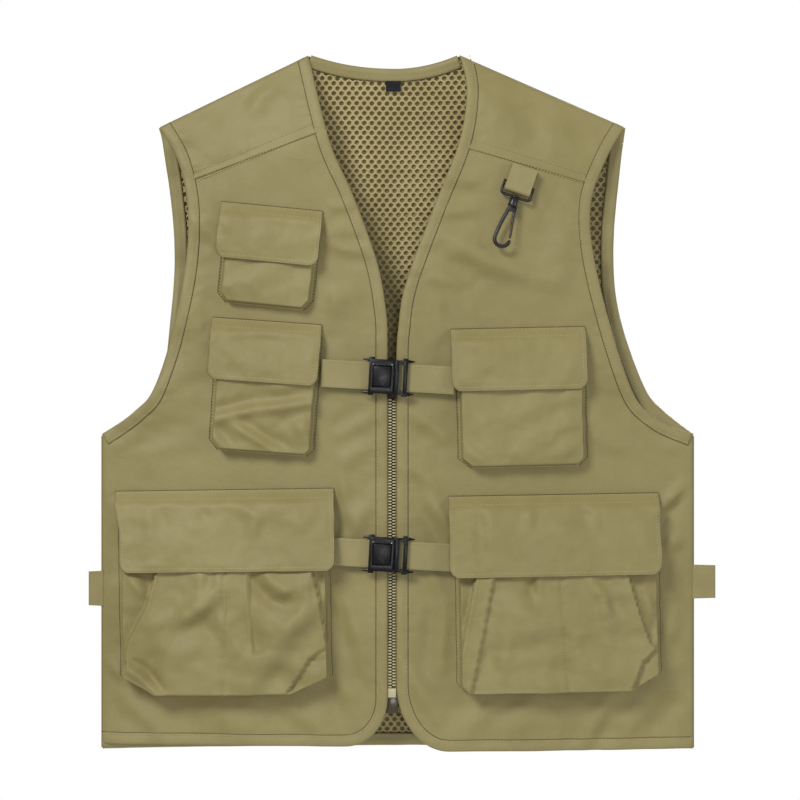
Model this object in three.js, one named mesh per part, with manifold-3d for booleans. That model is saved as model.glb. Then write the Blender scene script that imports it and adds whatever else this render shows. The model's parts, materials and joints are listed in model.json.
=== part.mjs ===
// A fishing vest, hung from the middle of its neck. Millimetres. +X is the wearer's left, the front
// faces -Y and +Z is up. The origin is the hanger seat, on the zip's line at shoulder height.
import * as THREE from 'three';
import { mergeVertices } from 'three/addons/utils/BufferGeometryUtils.js';
import Module from 'manifold-3d';

const wasm = await Module();
wasm.setup();

// ---- Driving dimensions ----
const sideHalfWidth = { right: 285, left: 296 }; // zip to side seam
const shoulderHalfWidth = 227.5; // zip to shoulder tip
const shoulderDrop = 70; // hanger seat down to a shoulder tip
const neckHalfWidth = { right: 82.5, left: 67 };
const neckArch = 17; // the shoulder fold's line, run on over the neck, rises this far
const armpitDrop = 373; // hanger seat down to the armpit
const backLength = 678; // hanger seat down to the back hem
const frontLength = { right: 673, left: 678 };
const chestRise = 24; // mid plane out to the shell at the zip
const seamRise = 2.3; // the same at the side seams and the shoulder fold
const shoulderRun = 100; // the shell reaches its full rise this far below the shoulder
const shellThick = 2;
const liningThick = 1;
const clearance = 0.3; // between touching pieces
const clothGap = 0.7; // between layers of curved cloth
const bindingWidth = 10.5;
const bindingThick = 1;
const frontGap = 4.9; // zip's line to each front edge
const strapWidth = 27;
const strapThick = 1.4;
const strapRise = 6; // the straps run this far proud of the shell at the zip

const SIDES = { right: -1, left: 1 }; // the wearer's sides, and their sign along X
const mix = (a, b, t) => a + (b - a) * t;
const clamp = (v, low, high) => Math.min(Math.max(v, low), high);
const ease = (t) => Math.sin(clamp(t, 0, 1) * Math.PI / 2);
const sideOf = (x) => (x < 0 ? 'right' : 'left');

// ---- The garment's outline ----
const armpitZ = -armpitDrop;
const hemZ = { right: -frontLength.right, left: -frontLength.left };

// Height of the shoulder fold above a point at x, run on in a smooth arch over the neck.
function shoulderZ(x) {
  const neck = neckHalfWidth[sideOf(x)];
  const slope = shoulderDrop / (shoulderHalfWidth - neck);
  const out = Math.abs(x);
  return out > neck ? slope * (neck - out) : neckArch * (1 - (out / neck) ** 2);
}

// Distance of the shell's outer face from the mid plane: a shallow lens that closes at the side
// seams and at the shoulders.
function rise(x, z) {
  const across = 1 - Math.min(1, (x / sideHalfWidth[sideOf(x)]) ** 2);
  const down = ease((shoulderZ(x) - z) / shoulderRun);
  return seamRise + (chestRise - seamRise) * across * down;
}

// x on a smooth edge at height z; the edge is a spline through points [x, z].
function edgeAt(points) {
  const line = new THREE.SplineCurve(points.map(([x, z]) => new THREE.Vector2(x, z))).getPoints(90);
  return (z) => {
    const k = clamp(line.findIndex((p) => p.y <= z), 1, line.length - 1);
    const [a, b] = [line[k - 1], line[k]];
    return mix(a.x, b.x, clamp((z - a.y) / (b.y - a.y), 0, 1));
  };
}

// An armhole edge from the shoulder tip to the armpit. Each stop is the share of the drop that it
// lies down, and how far inside the shoulder tip.
function armholeEdge(side, stops) {
  const sign = SIDES[side];
  const between = stops.map(([down, inside]) => [
    sign * (shoulderHalfWidth - inside), mix(-shoulderDrop, armpitZ, down)]);
  const tip = [sign * shoulderHalfWidth, -shoulderDrop];
  return edgeAt([tip, ...between, [sign * sideHalfWidth[side], armpitZ]]);
}
const frontArmhole = {
  right: armholeEdge('right', [[0.12, 20], [0.3, 29.5], [0.55, 22], [0.83, -2], [0.92, -23]]),
  left: armholeEdge('left', [[0.1, 18], [0.26, 34.5], [0.48, 28], [0.83, -3], [0.94, -29]]),
};
const backArmhole = {
  right: armholeEdge('right', [[0.08, 5], [0.38, 14.5], [0.72, 8], [0.83, -1.5], [0.92, -22.5]]),
  left: armholeEdge('left', [[0.14, 5], [0.4, 11], [0.62, 4], [0.84, -19], [0.92, -38]]),
};

// A front's inner edge: round hem corner, straight zip edge, and the V up to the neck point.
const hemCorner = { right: [40, 46], left: [50, 66] }; // width and height of the round corner
const neckEdge = {
  right: [[0.3, 58], [0.6, 38], [0.8, 11.5], [0.93, 2]], // share of the V's drop, x off the zip edge
  left: [[0.12, 68.5], [0.3, 61], [0.52, 36], [0.78, 8.5], [0.93, 1.5]],
};
const neckDrop = { right: 270, left: 290 };
function frontEdge(side) {
  const sign = SIDES[side];
  const neck = neckEdge[side].map(([down, out]) => [sign * (frontGap + out), -neckDrop[side] * down]);
  const top = [sign * neckHalfWidth[side], 0];
  const v = edgeAt([top, ...neck, [sign * frontGap, -neckDrop[side]]]);
  const [cornerWidth, cornerHeight] = hemCorner[side];
  return (z) => {
    if (z > -neckDrop[side]) return v(z);
    const low = clamp((hemZ[side] + cornerHeight - z) / cornerHeight, 0, 1);
    return sign * (frontGap + cornerWidth * (1 - Math.sqrt(1 - low * low)));
  };
}
const zipSide = { right: frontEdge('right'), left: frontEdge('left') };
const outerEdge = (side, armhole) => (z) =>
  (z > armpitZ ? armhole[side](z) : SIDES[side] * sideHalfWidth[side]);

// Back neck: a shallow curve between the two neck points.
const neckSag = 13;
const neckEndRoom = 8; // each neck point to the end of the neck binding
function backTop(x) {
  const neck = neckHalfWidth[sideOf(x)];
  return Math.abs(x) > neck ? shoulderZ(x) : -neckSag * (1 - (x / neck) ** 2);
}

// ---- Solids ----
// A box whose corner grid is moved point by point: place(u, v, w) with each from 0 to 1.
function mappedBox(place, uCount, vCount, wCount = 1) {
  const geometry = new THREE.BoxGeometry(1, 1, 1, uCount, vCount, wCount);
  geometry.deleteAttribute('normal');
  geometry.deleteAttribute('uv');
  const merged = mergeVertices(geometry, 1e-4);
  const points = merged.attributes.position;
  for (let i = 0; i < points.count; i += 1) {
    const [x, y, z] = place(points.getX(i) + 0.5, points.getY(i) + 0.5, points.getZ(i) + 0.5);
    points.setXYZ(i, x, y, z);
  }
  return facingOut(merged);
}

function signedVolume(geometry) {
  const [p, index] = [geometry.attributes.position, geometry.index.array];
  const [a, b, c] = [new THREE.Vector3(), new THREE.Vector3(), new THREE.Vector3()];
  let volume = 0;
  for (let i = 0; i < index.length; i += 3) {
    a.fromBufferAttribute(p, index[i]);
    b.fromBufferAttribute(p, index[i + 1]);
    c.fromBufferAttribute(p, index[i + 2]);
    volume += a.dot(b.cross(c)) / 6;
  }
  return volume;
}

// Turns a closed geometry's faces round if they point in.
function facingOut(geometry) {
  if (signedVolume(geometry) < 0) {
    const index = geometry.index.array;
    for (let i = 0; i < index.length; i += 3) {
      [index[i], index[i + 1]] = [index[i + 1], index[i]];
    }
  }
  geometry.computeVertexNormals();
  return geometry;
}

function solid(geometry) {
  const bare = geometry.clone();
  bare.deleteAttribute('normal');
  bare.deleteAttribute('uv');
  const merged = mergeVertices(bare, 1e-4);
  return new wasm.Manifold(new wasm.Mesh({
    numProp: 3,
    vertProperties: merged.attributes.position.array,
    triVerts: new Uint32Array(merged.index.array),
  }));
}

function fromSolid(body) {
  const mesh = body.getMesh();
  const geometry = new THREE.BufferGeometry();
  geometry.setAttribute('position', new THREE.BufferAttribute(mesh.vertProperties, 3));
  geometry.setIndex(new THREE.BufferAttribute(mesh.triVerts, 1));
  geometry.computeVertexNormals();
  return geometry;
}

function box(x, y, z) {
  const size = [x, y, z].map(([low, high]) => high - low);
  return new THREE.BoxGeometry(...size)
    .translate((x[0] + x[1]) / 2, (y[0] + y[1]) / 2, (z[0] + z[1]) / 2);
}

// A round wire along a curve.
function wire(curve, diameter, steps, sides = 10) {
  const section = new THREE.Shape().absarc(0, 0, diameter / 2, 0, Math.PI * 2);
  return new THREE.ExtrudeGeometry(section, { steps, extrudePath: curve, curveSegments: sides });
}

// ---- Materials ----
const finish = (color, roughness, metalness = 0) =>
  () => new THREE.MeshStandardMaterial({ color, roughness, metalness });
const shellCloth = finish(0x989064, 0.62);
const liningNet = finish(0xaea072, 0.8);
const bindingCloth = finish(0x8d8459, 0.6);
const webbing = finish(0x91885c, 0.7);
const zipTeeth = finish(0xbcb28e, 0.45);
const zipTapeCloth = finish(0xa1966a, 0.8);
const blackPlastic = finish(0x1c1e20, 0.35);
const darkMetal = finish(0x3a3637, 0.4, 0.8);
const filmPlastic = finish(0x4a4438, 0.3);
const hookTape = finish(0x857c56, 0.95);
const labelCloth = finish(0x121418, 0.8);

const vest = new THREE.Group();
function add(name, geometry, material, parent = vest) {
  const mesh = new THREE.Mesh(geometry, material());
  mesh.name = name;
  parent.add(mesh);
  return mesh;
}

// ---- Cloth sheets ----
// A sheet on the front (face -1) or the back (face 1), between two edges given as x at a height.
// inner and outer hold that edge and its z at the sheet's foot and head; depth is out of the shell's
// outer face.
function ruledSheet({ face, inner, outer, depth, across, up }) {
  return mappedBox((u, v, w) => {
    const zInner = mix(inner.z[0], inner.z[1], v);
    const zOuter = mix(outer.z[0], outer.z[1], v);
    const x = mix(inner.edge(zInner), outer.edge(zOuter), u);
    const z = mix(zInner, zOuter, u);
    return [x, face * (rise(x, z) + mix(depth[0], depth[1], w)), z];
  }, across, up);
}
const shellDepth = [-shellThick, 0];
const liningTop = -shellThick - clothGap;
const liningDepth = [liningTop - liningThick, liningTop];

// A strip along an edge, on the shell's outer face and flush with the edge. points run along the
// edge, and the strip lies on their left as seen from the front if turn is 1.
function edgeStrip({ face, points, width, turn, depth }) {
  const last = points.length - 1;
  const inward = points.map((p, i) => {
    const [a, b] = [points[Math.max(i - 1, 0)], points[Math.min(i + 1, last)]];
    return new THREE.Vector2(-(b.y - a.y), b.x - a.x).normalize().multiplyScalar(turn);
  });
  return mappedBox((u, v, w) => {
    const i = Math.round(v * last);
    const x = points[i].x + inward[i].x * u * width;
    const z = points[i].y + inward[i].y * u * width;
    return [x, face * (rise(x, z) + mix(depth[0], depth[1], w)), z];
  }, 1, last);
}
const bindingDepth = [clothGap, clothGap + bindingThick];
const edgePoints = (edge, zFrom, zTo, count) =>
  Array.from({ length: count + 1 }, (_, i) => {
    const z = mix(zFrom, zTo, i / count);
    return new THREE.Vector2(edge(z), z);
  });

// ---- Fronts: panel, yoke, lining and bindings ----
const yokeInnerZ = { right: -75, left: -91 }; // the yoke seam at the V, and at the armhole
const yokeOuterZ = { right: -126, left: -128 };
const liningInset = { hem: 13, zip: 13, armhole: 18, neck: 15.5, tip: 13 }; // shell's edge to lining
const frontLiningTop = { neck: -26, tip: -91 }; // z of its upper edge at the V and at the armhole
const inset = (edge, by) => (z) => edge(z) + by;

function addFront(side) {
  const sign = SIDES[side];
  const armhole = outerEdge(side, frontArmhole);
  const edge = zipSide[side];
  const seam = clearance / 2;
  const belowArmpit = { innerZ: [hemZ[side], armpitZ], outerZ: [hemZ[side], armpitZ] };
  const aboveArmpit = {
    innerZ: [armpitZ, yokeInnerZ[side] - seam], outerZ: [armpitZ, yokeOuterZ[side] - seam],
  };
  const [lower, upper] = [belowArmpit, aboveArmpit].map(({ innerZ, outerZ }) => solid(ruledSheet({
    face: -1, inner: { edge, z: innerZ }, outer: { edge: armhole, z: outerZ },
    depth: shellDepth, across: 8, up: 12,
  })));
  add(`front_panel_${side}`, fromSolid(lower.add(upper)), shellCloth);
  add(`front_yoke_${side}`, ruledSheet({
    face: -1, depth: shellDepth, across: 8, up: 6,
    inner: { edge, z: [yokeInnerZ[side] + seam, 0] },
    outer: { edge: armhole, z: [yokeOuterZ[side] + seam, -shoulderDrop] },
  }), shellCloth);
  add(`lining_front_${side}`, ruledSheet({
    face: -1, depth: liningDepth, across: 6, up: 18,
    inner: { edge: inset(edge, sign * liningInset.zip),
      z: [hemZ[side] + liningInset.hem, frontLiningTop.neck] },
    outer: { edge: inset(armhole, -sign * liningInset.armhole),
      z: [hemZ[side] + liningInset.hem, frontLiningTop.tip] },
  }), liningNet);
  addFrontBinding(side);
  addArmholeBinding('front', side, frontArmhole[side], -1);
  addArmholeBinding('back', side, backArmhole[side], 1);
}

// Along the hem, round the corner, up the zip edge and the V to the neck point.
function addFrontBinding(side) {
  const sign = SIDES[side];
  const [cornerWidth, cornerHeight] = hemCorner[side];
  const cornerX = sign * (frontGap + cornerWidth);
  const hem = [0, 0.25, 0.5, 0.75].map((t) =>
    new THREE.Vector2(mix(sign * (sideHalfWidth[side] - 1), cornerX, t), hemZ[side]));
  const corner = Array.from({ length: 9 }, (_, i) => {
    const angle = (i / 8) * Math.PI / 2;
    return new THREE.Vector2(cornerX - sign * cornerWidth * Math.sin(angle),
      hemZ[side] + cornerHeight * (1 - Math.cos(angle)));
  });
  const zipTop = -neckDrop[side];
  const straight = edgePoints(zipSide[side], zipTop - 100, zipTop, 1);
  const v = edgePoints(zipSide[side], zipTop + 12, -2, 16);
  add(`front_binding_${side}`, edgeStrip({
    face: -1, points: [...hem, ...corner, ...straight, ...v], width: bindingWidth, turn: -sign,
    depth: bindingDepth,
  }), bindingCloth);
}

function addArmholeBinding(face, side, edge, facing) {
  const points = edgePoints(edge, armpitZ + 1, -shoulderDrop - 2, 20);
  add(`armhole_binding_${face}_${side}`, edgeStrip({
    face: facing, points, width: bindingWidth, turn: SIDES[side], depth: bindingDepth,
  }), bindingCloth);
}

// ---- Back: panel, lining, neck binding and size label ----
// Columns across the back are closer at the two neck points, where the top edge turns.
const backRows = { low: 8, high: 14 }; // below and above the armpits
const noInset = { hem: 0, armhole: 0, neck: 0, tip: 0 };
function backSheet({ by, depth }) {
  const neckShare = 0.5;
  return mappedBox((u, v, w) => {
    const side = u < 0.5 ? 'right' : 'left';
    const sign = SIDES[side];
    const out = Math.abs(u - 0.5) * 2;
    const neck = neckHalfWidth[side] / shoulderHalfWidth;
    const share = out < neckShare
      ? mix(0, neck, out / neckShare) : mix(neck, 1, (out - neckShare) / (1 - neckShare));
    const tipZ = -shoulderDrop - by.tip;
    const row = Math.round(v * (backRows.low + backRows.high));
    const low = Math.min(row / backRows.low, 1);
    const high = 1 - (1 - Math.max((row - backRows.low) / backRows.high, 0)) ** 1.5;
    const edgeZ = high > 0 ? mix(armpitZ, tipZ, high) : mix(-backLength + by.hem, armpitZ, low);
    const reach = Math.abs(outerEdge(side, backArmhole)(edgeZ)) - by.armhole;
    const x = sign * reach * share;
    const top = backTop(sign * shoulderHalfWidth * share) - by.neck;
    const z = high > 0 ? mix(armpitZ, top, high) : edgeZ;
    return [x, rise(x, z) + mix(depth[0], depth[1], w), z];
  }, 16, backRows.low + backRows.high);
}

function addBack() {
  add('back_panel', backSheet({ by: noInset, depth: shellDepth }), shellCloth);
  add('lining_back', backSheet({ by: liningInset, depth: liningDepth }), liningNet);
  const neck = Array.from({ length: 15 }, (_, i) => {
    const share = i / 7 - 1;
    const x = share * (neckHalfWidth[share < 0 ? 'right' : 'left'] - neckEndRoom);
    return new THREE.Vector2(x, backTop(x));
  });
  add('neck_binding', edgeStrip({
    face: 1, points: neck, width: bindingWidth, turn: -1,
    depth: [liningTop - bindingThick, liningTop],
  }), bindingCloth);
  addSizeLabel();
}

const label = { width: 14.5, height: 12, thick: 0.8, x: 1.2, top: -21.5 };
function addSizeLabel() {
  const back = liningTop - bindingThick - clothGap;
  add('size_label', mappedBox((u, v, w) => {
    const x = label.x + (u - 0.5) * label.width;
    const z = label.top - v * label.height;
    return [x, rise(x, z) + back - w * label.thick, z];
  }, 2, 2), labelCloth);
}

// ---- Zip ----
const zip = {
  top: -334, foot: -617, pitch: 2.9, toothGap: 1.1, slit: 0.55, toothReach: 3.6, tapeWidth: 15.5,
  chainDepth: [-3.2, -0.6], tapeDepth: [-2.95, -2.3],
};
const chestY = -chestRise; // the shell's outer face at the zip
const slider = { width: 8.8, length: 15, plate: 1.3, neck: 0.5 };
const pull = { width: 4.2, length: 16, thick: 1 };
const retainer = { width: 8.2, height: 9 };
const endFilm = { width: 12, height: 15 };

// Half a zip chain: a comb of teeth on a spine, its tips short of the zip's line by the slit.
function chainHalf(sign) {
  const count = Math.floor((zip.top - zip.foot) / zip.pitch);
  const spine = mix(zip.slit, zip.toothReach, 0.6);
  const outline = [[sign * zip.toothReach, zip.foot]];
  for (let k = 0; k < count; k += 1) {
    const z = zip.foot + k * zip.pitch;
    outline.push([sign * zip.slit, z], [sign * zip.slit, z + zip.pitch - zip.toothGap]);
    if (k < count - 1) {
      outline.push([sign * spine, z + zip.pitch - zip.toothGap], [sign * spine, z + zip.pitch]);
    }
  }
  outline.push([sign * zip.toothReach, zip.foot + count * zip.pitch - zip.toothGap]);
  const shape = new THREE.Shape(outline.map(([x, z]) => new THREE.Vector2(x, z)));
  const [back, front] = zip.chainDepth;
  return new THREE.ExtrudeGeometry(shape, { depth: front - back, bevelEnabled: false })
    .rotateX(Math.PI / 2)
    .translate(0, chestY - back, 0);
}

function addZip() {
  Object.entries(SIDES).forEach(([side, sign]) => {
    add(`zipper_chain_${side}`, chainHalf(sign), zipTeeth);
    const from = zip.toothReach + clearance;
    const [back, front] = zip.tapeDepth;
    add(`zipper_tape_${side}`, box(
      sign > 0 ? [from, zip.tapeWidth] : [-zip.tapeWidth, -from],
      [chestY - front, chestY - back],
      [zip.foot, zip.top],
    ), zipTapeCloth);
  });
  addSlider();
  const [back, front] = zip.chainDepth;
  const boxTop = zip.foot - clearance;
  add('zipper_retainer_box', box(
    [-retainer.width / 2, retainer.width / 2], [chestY - front - 0.6, chestY - back],
    [boxTop - retainer.height, boxTop],
  ), zipTeeth);
  add('zipper_end_film', box(
    [-endFilm.width / 2, endFilm.width / 2], [chestY + 2.3, chestY + 3],
    [boxTop - retainer.height - clearance - endFilm.height, boxTop - retainer.height - clearance],
  ), filmPlastic);
}

// Two plates, before and behind the chain, joined by a thin neck through its slit. The pull lies
// flipped up on the front plate, under the closed upper buckle.
const sliderTop = zip.top + 6;
const sliderFront = chestY - zip.chainDepth[1] - clearance - slider.plate;
const pullHinge = new THREE.Vector3(0, sliderFront - 1.1, sliderTop - 5);
function addSlider() {
  const [back, front] = zip.chainDepth;
  const across = [-slider.width / 2, slider.width / 2];
  const down = [sliderTop - slider.length, sliderTop];
  const frontPlate = box(across, [sliderFront, sliderFront + slider.plate], down);
  const rear = chestY - back + clearance;
  const rearPlate = box(across, [rear, rear + slider.plate], down);
  const neck = box([-slider.neck / 2, slider.neck / 2], [sliderFront + 0.5, rear + 0.5],
    [down[0] + 1, down[1] - 0.5]);
  const lug = (x) => solid(box([x - 0.6, x + 0.6], [sliderFront - 2, sliderFront + 0.2],
    [pullHinge.z - 1.4, pullHinge.z + 1.4]));
  const lugX = pull.width / 2 + clearance + 0.6;
  const body = solid(frontPlate).add(solid(rearPlate)).add(solid(neck)).add(lug(lugX)).add(lug(-lugX));
  add('zipper_slider', fromSolid(body), darkMetal);
  add('zipper_pull', box([-pull.width / 2, pull.width / 2],
    [pullHinge.y - pull.thick / 2, pullHinge.y + pull.thick / 2],
    [pullHinge.z - 1, pullHinge.z + pull.length]), darkMetal);
}

// ---- Pockets ----
// Each lies on the shell in its own frame: s runs along the flap's top edge from its middle, v runs
// down from that edge, slope is the top edge's rise in degrees towards +X, and shift is how far the
// pouch's middle lies from the flap's. mouth and belly are the pouch's depths at its top and below.
const pockets = [
  { name: 'small_right', x: -116.4, top: -149, slope: -5.8, flap: [100, 55], pouch: [95, 98],
    shift: 2.5, mouth: 8, belly: 11 },
  { name: 'medium_right', x: -121.2, top: -260.3, slope: -4.1, flap: [107, 60.5], pouch: [104, 129],
    shift: 3, mouth: 8, belly: 14 },
  { name: 'large_right', x: -163.8, top: -424.4, slope: 1, flap: [214.5, 79], pouch: [206, 197],
    shift: -1, mouth: 9, belly: 24 },
  { name: 'medium_left', x: 122.3, top: -267, slope: 1.3, flap: [131, 61], pouch: [127, 136],
    shift: 2, mouth: 8, belly: 13 },
  { name: 'large_left', x: 157.4, top: -429, slope: 0.8, flap: [205.5, 78.5], pouch: [201, 193],
    shift: 3, mouth: 9, belly: 24 },
];
const mouthDrop = 12; // flap's top edge down to the pouch's mouth
const flapThick = 2;
const pouchWall = 1.4;
const tapeThick = 0.8; // hook tape and loop tape
const tapeHeight = 16;
const tapeShare = 0.5; // of the flap's width
const strapLeanRoom = 0.3; // a leaning strap's end, between its corners
const flapStack = 2 * tapeThick + 3 * clearance; // pouch's front to the flap's underside

// A pocket's (s, v, depth) as a point of the vest.
function onPocket(pocket, s, v, depth) {
  const angle = THREE.MathUtils.degToRad(pocket.slope);
  const x = pocket.x + s * Math.cos(angle) + v * Math.sin(angle);
  const z = pocket.top + s * Math.sin(angle) - v * Math.cos(angle);
  return [x, -(rise(x, z) + depth), z];
}
const pouchDepth = (pocket, v) =>
  mix(pocket.mouth, pocket.belly, ease((v - mouthDrop) / (pocket.pouch[1] * 0.6)));

// An open-topped tray of cloth: its front stands off the shell, and its sides and foot come back to
// it. Steps list where the wall, its rim and the front lie, in from each edge.
const rimRun = 1.2;
const roundRun = 5;
const footCut = 9; // the two lower corners are cut across
function addPouch(pocket) {
  const [width, foot] = pocket.pouch;
  const columns = 10;
  const rows = 9;
  const fromEdge = [0, rimRun, roundRun];
  const runIn = (i) => (i < fromEdge.length ? fromEdge[i] : null);
  const place = (u, v, w) => {
    const wall = pouchWall * (1 - w);
    const i = Math.round(u * columns);
    const j = Math.round(v * rows);
    const k = Math.min(i, columns - i);
    const half = width / 2 - wall;
    const out = runIn(k) ?? mix(roundRun, width / 2, (k - 2) / (columns / 2 - 2));
    const upFromFoot = runIn(j) ?? mix(roundRun, foot - mouthDrop, (j - 2) / (rows - 2));
    const cut = Math.max(0, footCut - upFromFoot);
    const s = Math.sign(u - 0.5) * Math.max(0, half - Math.min(out + cut, half));
    const lift = j === rows ? foot - mouthDrop : Math.max(upFromFoot, wall);
    const edge = Math.min(k, j);
    const full = pouchDepth(pocket, foot - upFromFoot) - wall;
    const depth = edge === 0 ? clearance : full - (edge === 1 ? 1.5 : 0);
    return onPocket(pocket, s + pocket.shift, foot - lift, depth);
  };
  add(`pouch_${pocket.name}`, mappedBox(place, columns, rows), shellCloth);
}

function flapDepth(pocket, v) {
  const carried = Math.max(v, mouthDrop + 6);
  const stood = pouchDepth(pocket, carried) + flapStack;
  return mix(clearance, stood, ease(v / (mouthDrop + 6)) ** 1.5);
}

const flapCorner = 10;
function addFlap(pocket) {
  const [width, height] = pocket.flap;
  const rows = 8;
  add(`flap_${pocket.name}`, mappedBox((u, v, w) => {
    const down = height * v;
    const corner = clamp((down - height + flapCorner) / flapCorner, 0, 1);
    const half = width / 2 - flapCorner * (1 - Math.sqrt(1 - corner * corner * 0.96));
    return onPocket(pocket, (u - 0.5) * 2 * half, down, flapDepth(pocket, down) + flapThick * w);
  }, 10, rows), shellCloth);
  const middle = height - tapeHeight - 10;
  const tape = (name, low) => add(name, mappedBox((u, v, w) => {
    const down = middle + tapeHeight * v;
    return onPocket(pocket, (u - 0.5) * width * tapeShare, down,
      pouchDepth(pocket, down) + low + tapeThick * w);
  }, 6, 2), hookTape);
  tape(`loop_tape_${pocket.name}`, clearance);
  tape(`hook_tape_${pocket.name}`, clearance * 2 + tapeThick);
}

// The flap turns about a straight line along its top edge, clear of the curved shell.
function flapHinge(pocket) {
  const half = pocket.flap[0] / 2;
  const [a, b] = [onPocket(pocket, -half, 0, 0), onPocket(pocket, half, 0, 0)];
  const middle = onPocket(pocket, 0, 0, 0);
  const bow = (a[1] + b[1]) / 2 - middle[1];
  const at = [middle[0], (a[1] + b[1]) / 2 - bow - clearance - flapThick / 2, middle[2]];
  return { at, axis: [a[0] - b[0], a[1] - b[1], a[2] - b[2]] };
}

// Where a strap at height z meets the side of a pouch, clear of it at both of the strap's edges.
function pouchSide(pocket, z) {
  const towardsZip = -Math.sign(pocket.x);
  const angle = THREE.MathUtils.degToRad(pocket.slope);
  const sides = [-strapWidth / 2, strapWidth / 2].map((across) => pocket.x
    + (pocket.shift + towardsZip * pocket.pouch[0] / 2) * Math.cos(angle)
    + (pocket.top - z - across) * Math.sin(angle));
  const nearest = towardsZip > 0 ? Math.max(...sides) : Math.min(...sides);
  return nearest + towardsZip * (clearance + strapLeanRoom);
}

// ---- Straps and buckles ----
// Each buckle lies level with the shell at the zip and leans by a few degrees. A strap runs from
// each pocket beside it; the right one ends in the housing's slot and the left one in the plug's.
const buckles = [
  { name: 'upper', z: -315.4, lean: 3.3, right: pockets[1], left: pockets[3] },
  { name: 'lower', z: -487, lean: 3, right: pockets[2], left: pockets[4] },
];
const buckle = {
  housing: [-22.3, 2], cheek: 2.7, back: 4.8, thick: 8.2, plugEnd: 15, wall: 2.2, ear: 5,
  button: [17, 20, 1.8], proud: 0.4, prong: [5, 1.2, 14],
  earInset: 1.5, earReach: 2, slotInset: 6, slotWidth: 3.5, barInset: 5, barGap: 3.4,
};
function addBuckle({ name, z, lean, right, left }) {
  const group = new THREE.Group();
  group.position.set(0, chestY, z);
  group.rotation.y = THREE.MathUtils.degToRad(lean);
  vest.add(group);
  const half = strapWidth / 2 + clearance + buckle.cheek;
  const [x0, x1] = buckle.housing;
  const front = -buckle.back - buckle.thick;
  const inner = half - buckle.wall;
  const strapSlot = [-strapRise - strapThick - clearance, -strapRise + clearance];
  const [buttonWide, buttonHigh, buttonThick] = buckle.button;
  const buttonX = [x0 + 4, x0 + 4 + buttonWide];
  const buttonZ = [-buttonHigh / 2, buttonHigh / 2];
  const cavityY = [front + buttonThick, -buckle.back - buckle.wall * 0.6];
  const grow = ([a, b]) => [a - clearance, b + clearance];
  const slotZ = grow([-strapWidth / 2, strapWidth / 2]);
  const ear = (x, sign) => box([x, x + buckle.ear],
    [front + buckle.earInset, -buckle.back - buckle.earInset],
    [sign * (half - 1), sign * (half + buckle.earReach)].sort((a, b) => a - b));
  const housing = solid(box([x0, x1], [front, -buckle.back], [-half, half]))
    .add(solid(ear(x0, 1))).add(solid(ear(x0, -1)))
    .subtract(solid(box([x0 + buckle.slotInset, x1 + 1], cavityY, [-inner, inner])))
    .subtract(solid(box([x0 - 1, x0 + buckle.slotWidth], strapSlot, slotZ)))
    .subtract(solid(box(grow(buttonX), [front - 1, front + buttonThick + 2.2], grow(buttonZ))));
  add(`buckle_housing_${name}`, fromSolid(housing), blackPlastic, group);
  const rest = front + buckle.proud;
  add(`buckle_button_${name}`, box(buttonX, [rest, rest + buttonThick], buttonZ), blackPlastic, group);
  addPlug(`buckle_plug_${name}`, group, { strapSlot, slotZ, front, ear, half, inner });
  const run = (from, to) => box([from, to], [-strapRise - strapThick, -strapRise],
    [-strapWidth / 2, strapWidth / 2]);
  add(`strap_right_${name}`, run(pouchSide(right, z), x0 + 3.2), webbing, group);
  add(`strap_left_${name}`, run(x1 + clearance + 3, pouchSide(left, z)), webbing, group);
}

// The plug's prongs lie in the housing behind the button, and its frame slides along its strap.
function addPlug(name, group, { strapSlot, slotZ, front, ear, half, inner }) {
  const start = buckle.housing[1] + clearance;
  const [prongHigh, prongThick, prongLong] = buckle.prong;
  const prongY = [strapSlot[0] - clearance - prongThick, strapSlot[0] - clearance];
  const prong = (low, high) => box([start - prongLong, start + 1], prongY, [low, high]);
  const reach = inner - clearance;
  const earX = buckle.plugEnd - buckle.ear;
  const bar = [start + buckle.barInset, start + buckle.barInset + buckle.barGap];
  const plug = solid(box([start, buckle.plugEnd], [front + 0.6, -buckle.back], [-half, half]))
    .add(solid(prong(reach - prongHigh, reach)))
    .add(solid(prong(-reach, prongHigh - reach)))
    .add(solid(prong(-prongHigh / 2, prongHigh / 2)))
    .add(solid(ear(earX, 1))).add(solid(ear(earX, -1)))
    .subtract(solid(box([start - 1, buckle.plugEnd + 1], strapSlot, slotZ)))
    .subtract(solid(box(bar, [front - 1, strapSlot[0] + 1], slotZ)));
  add(name, fromSolid(plug), blackPlastic, group);
}

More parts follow.
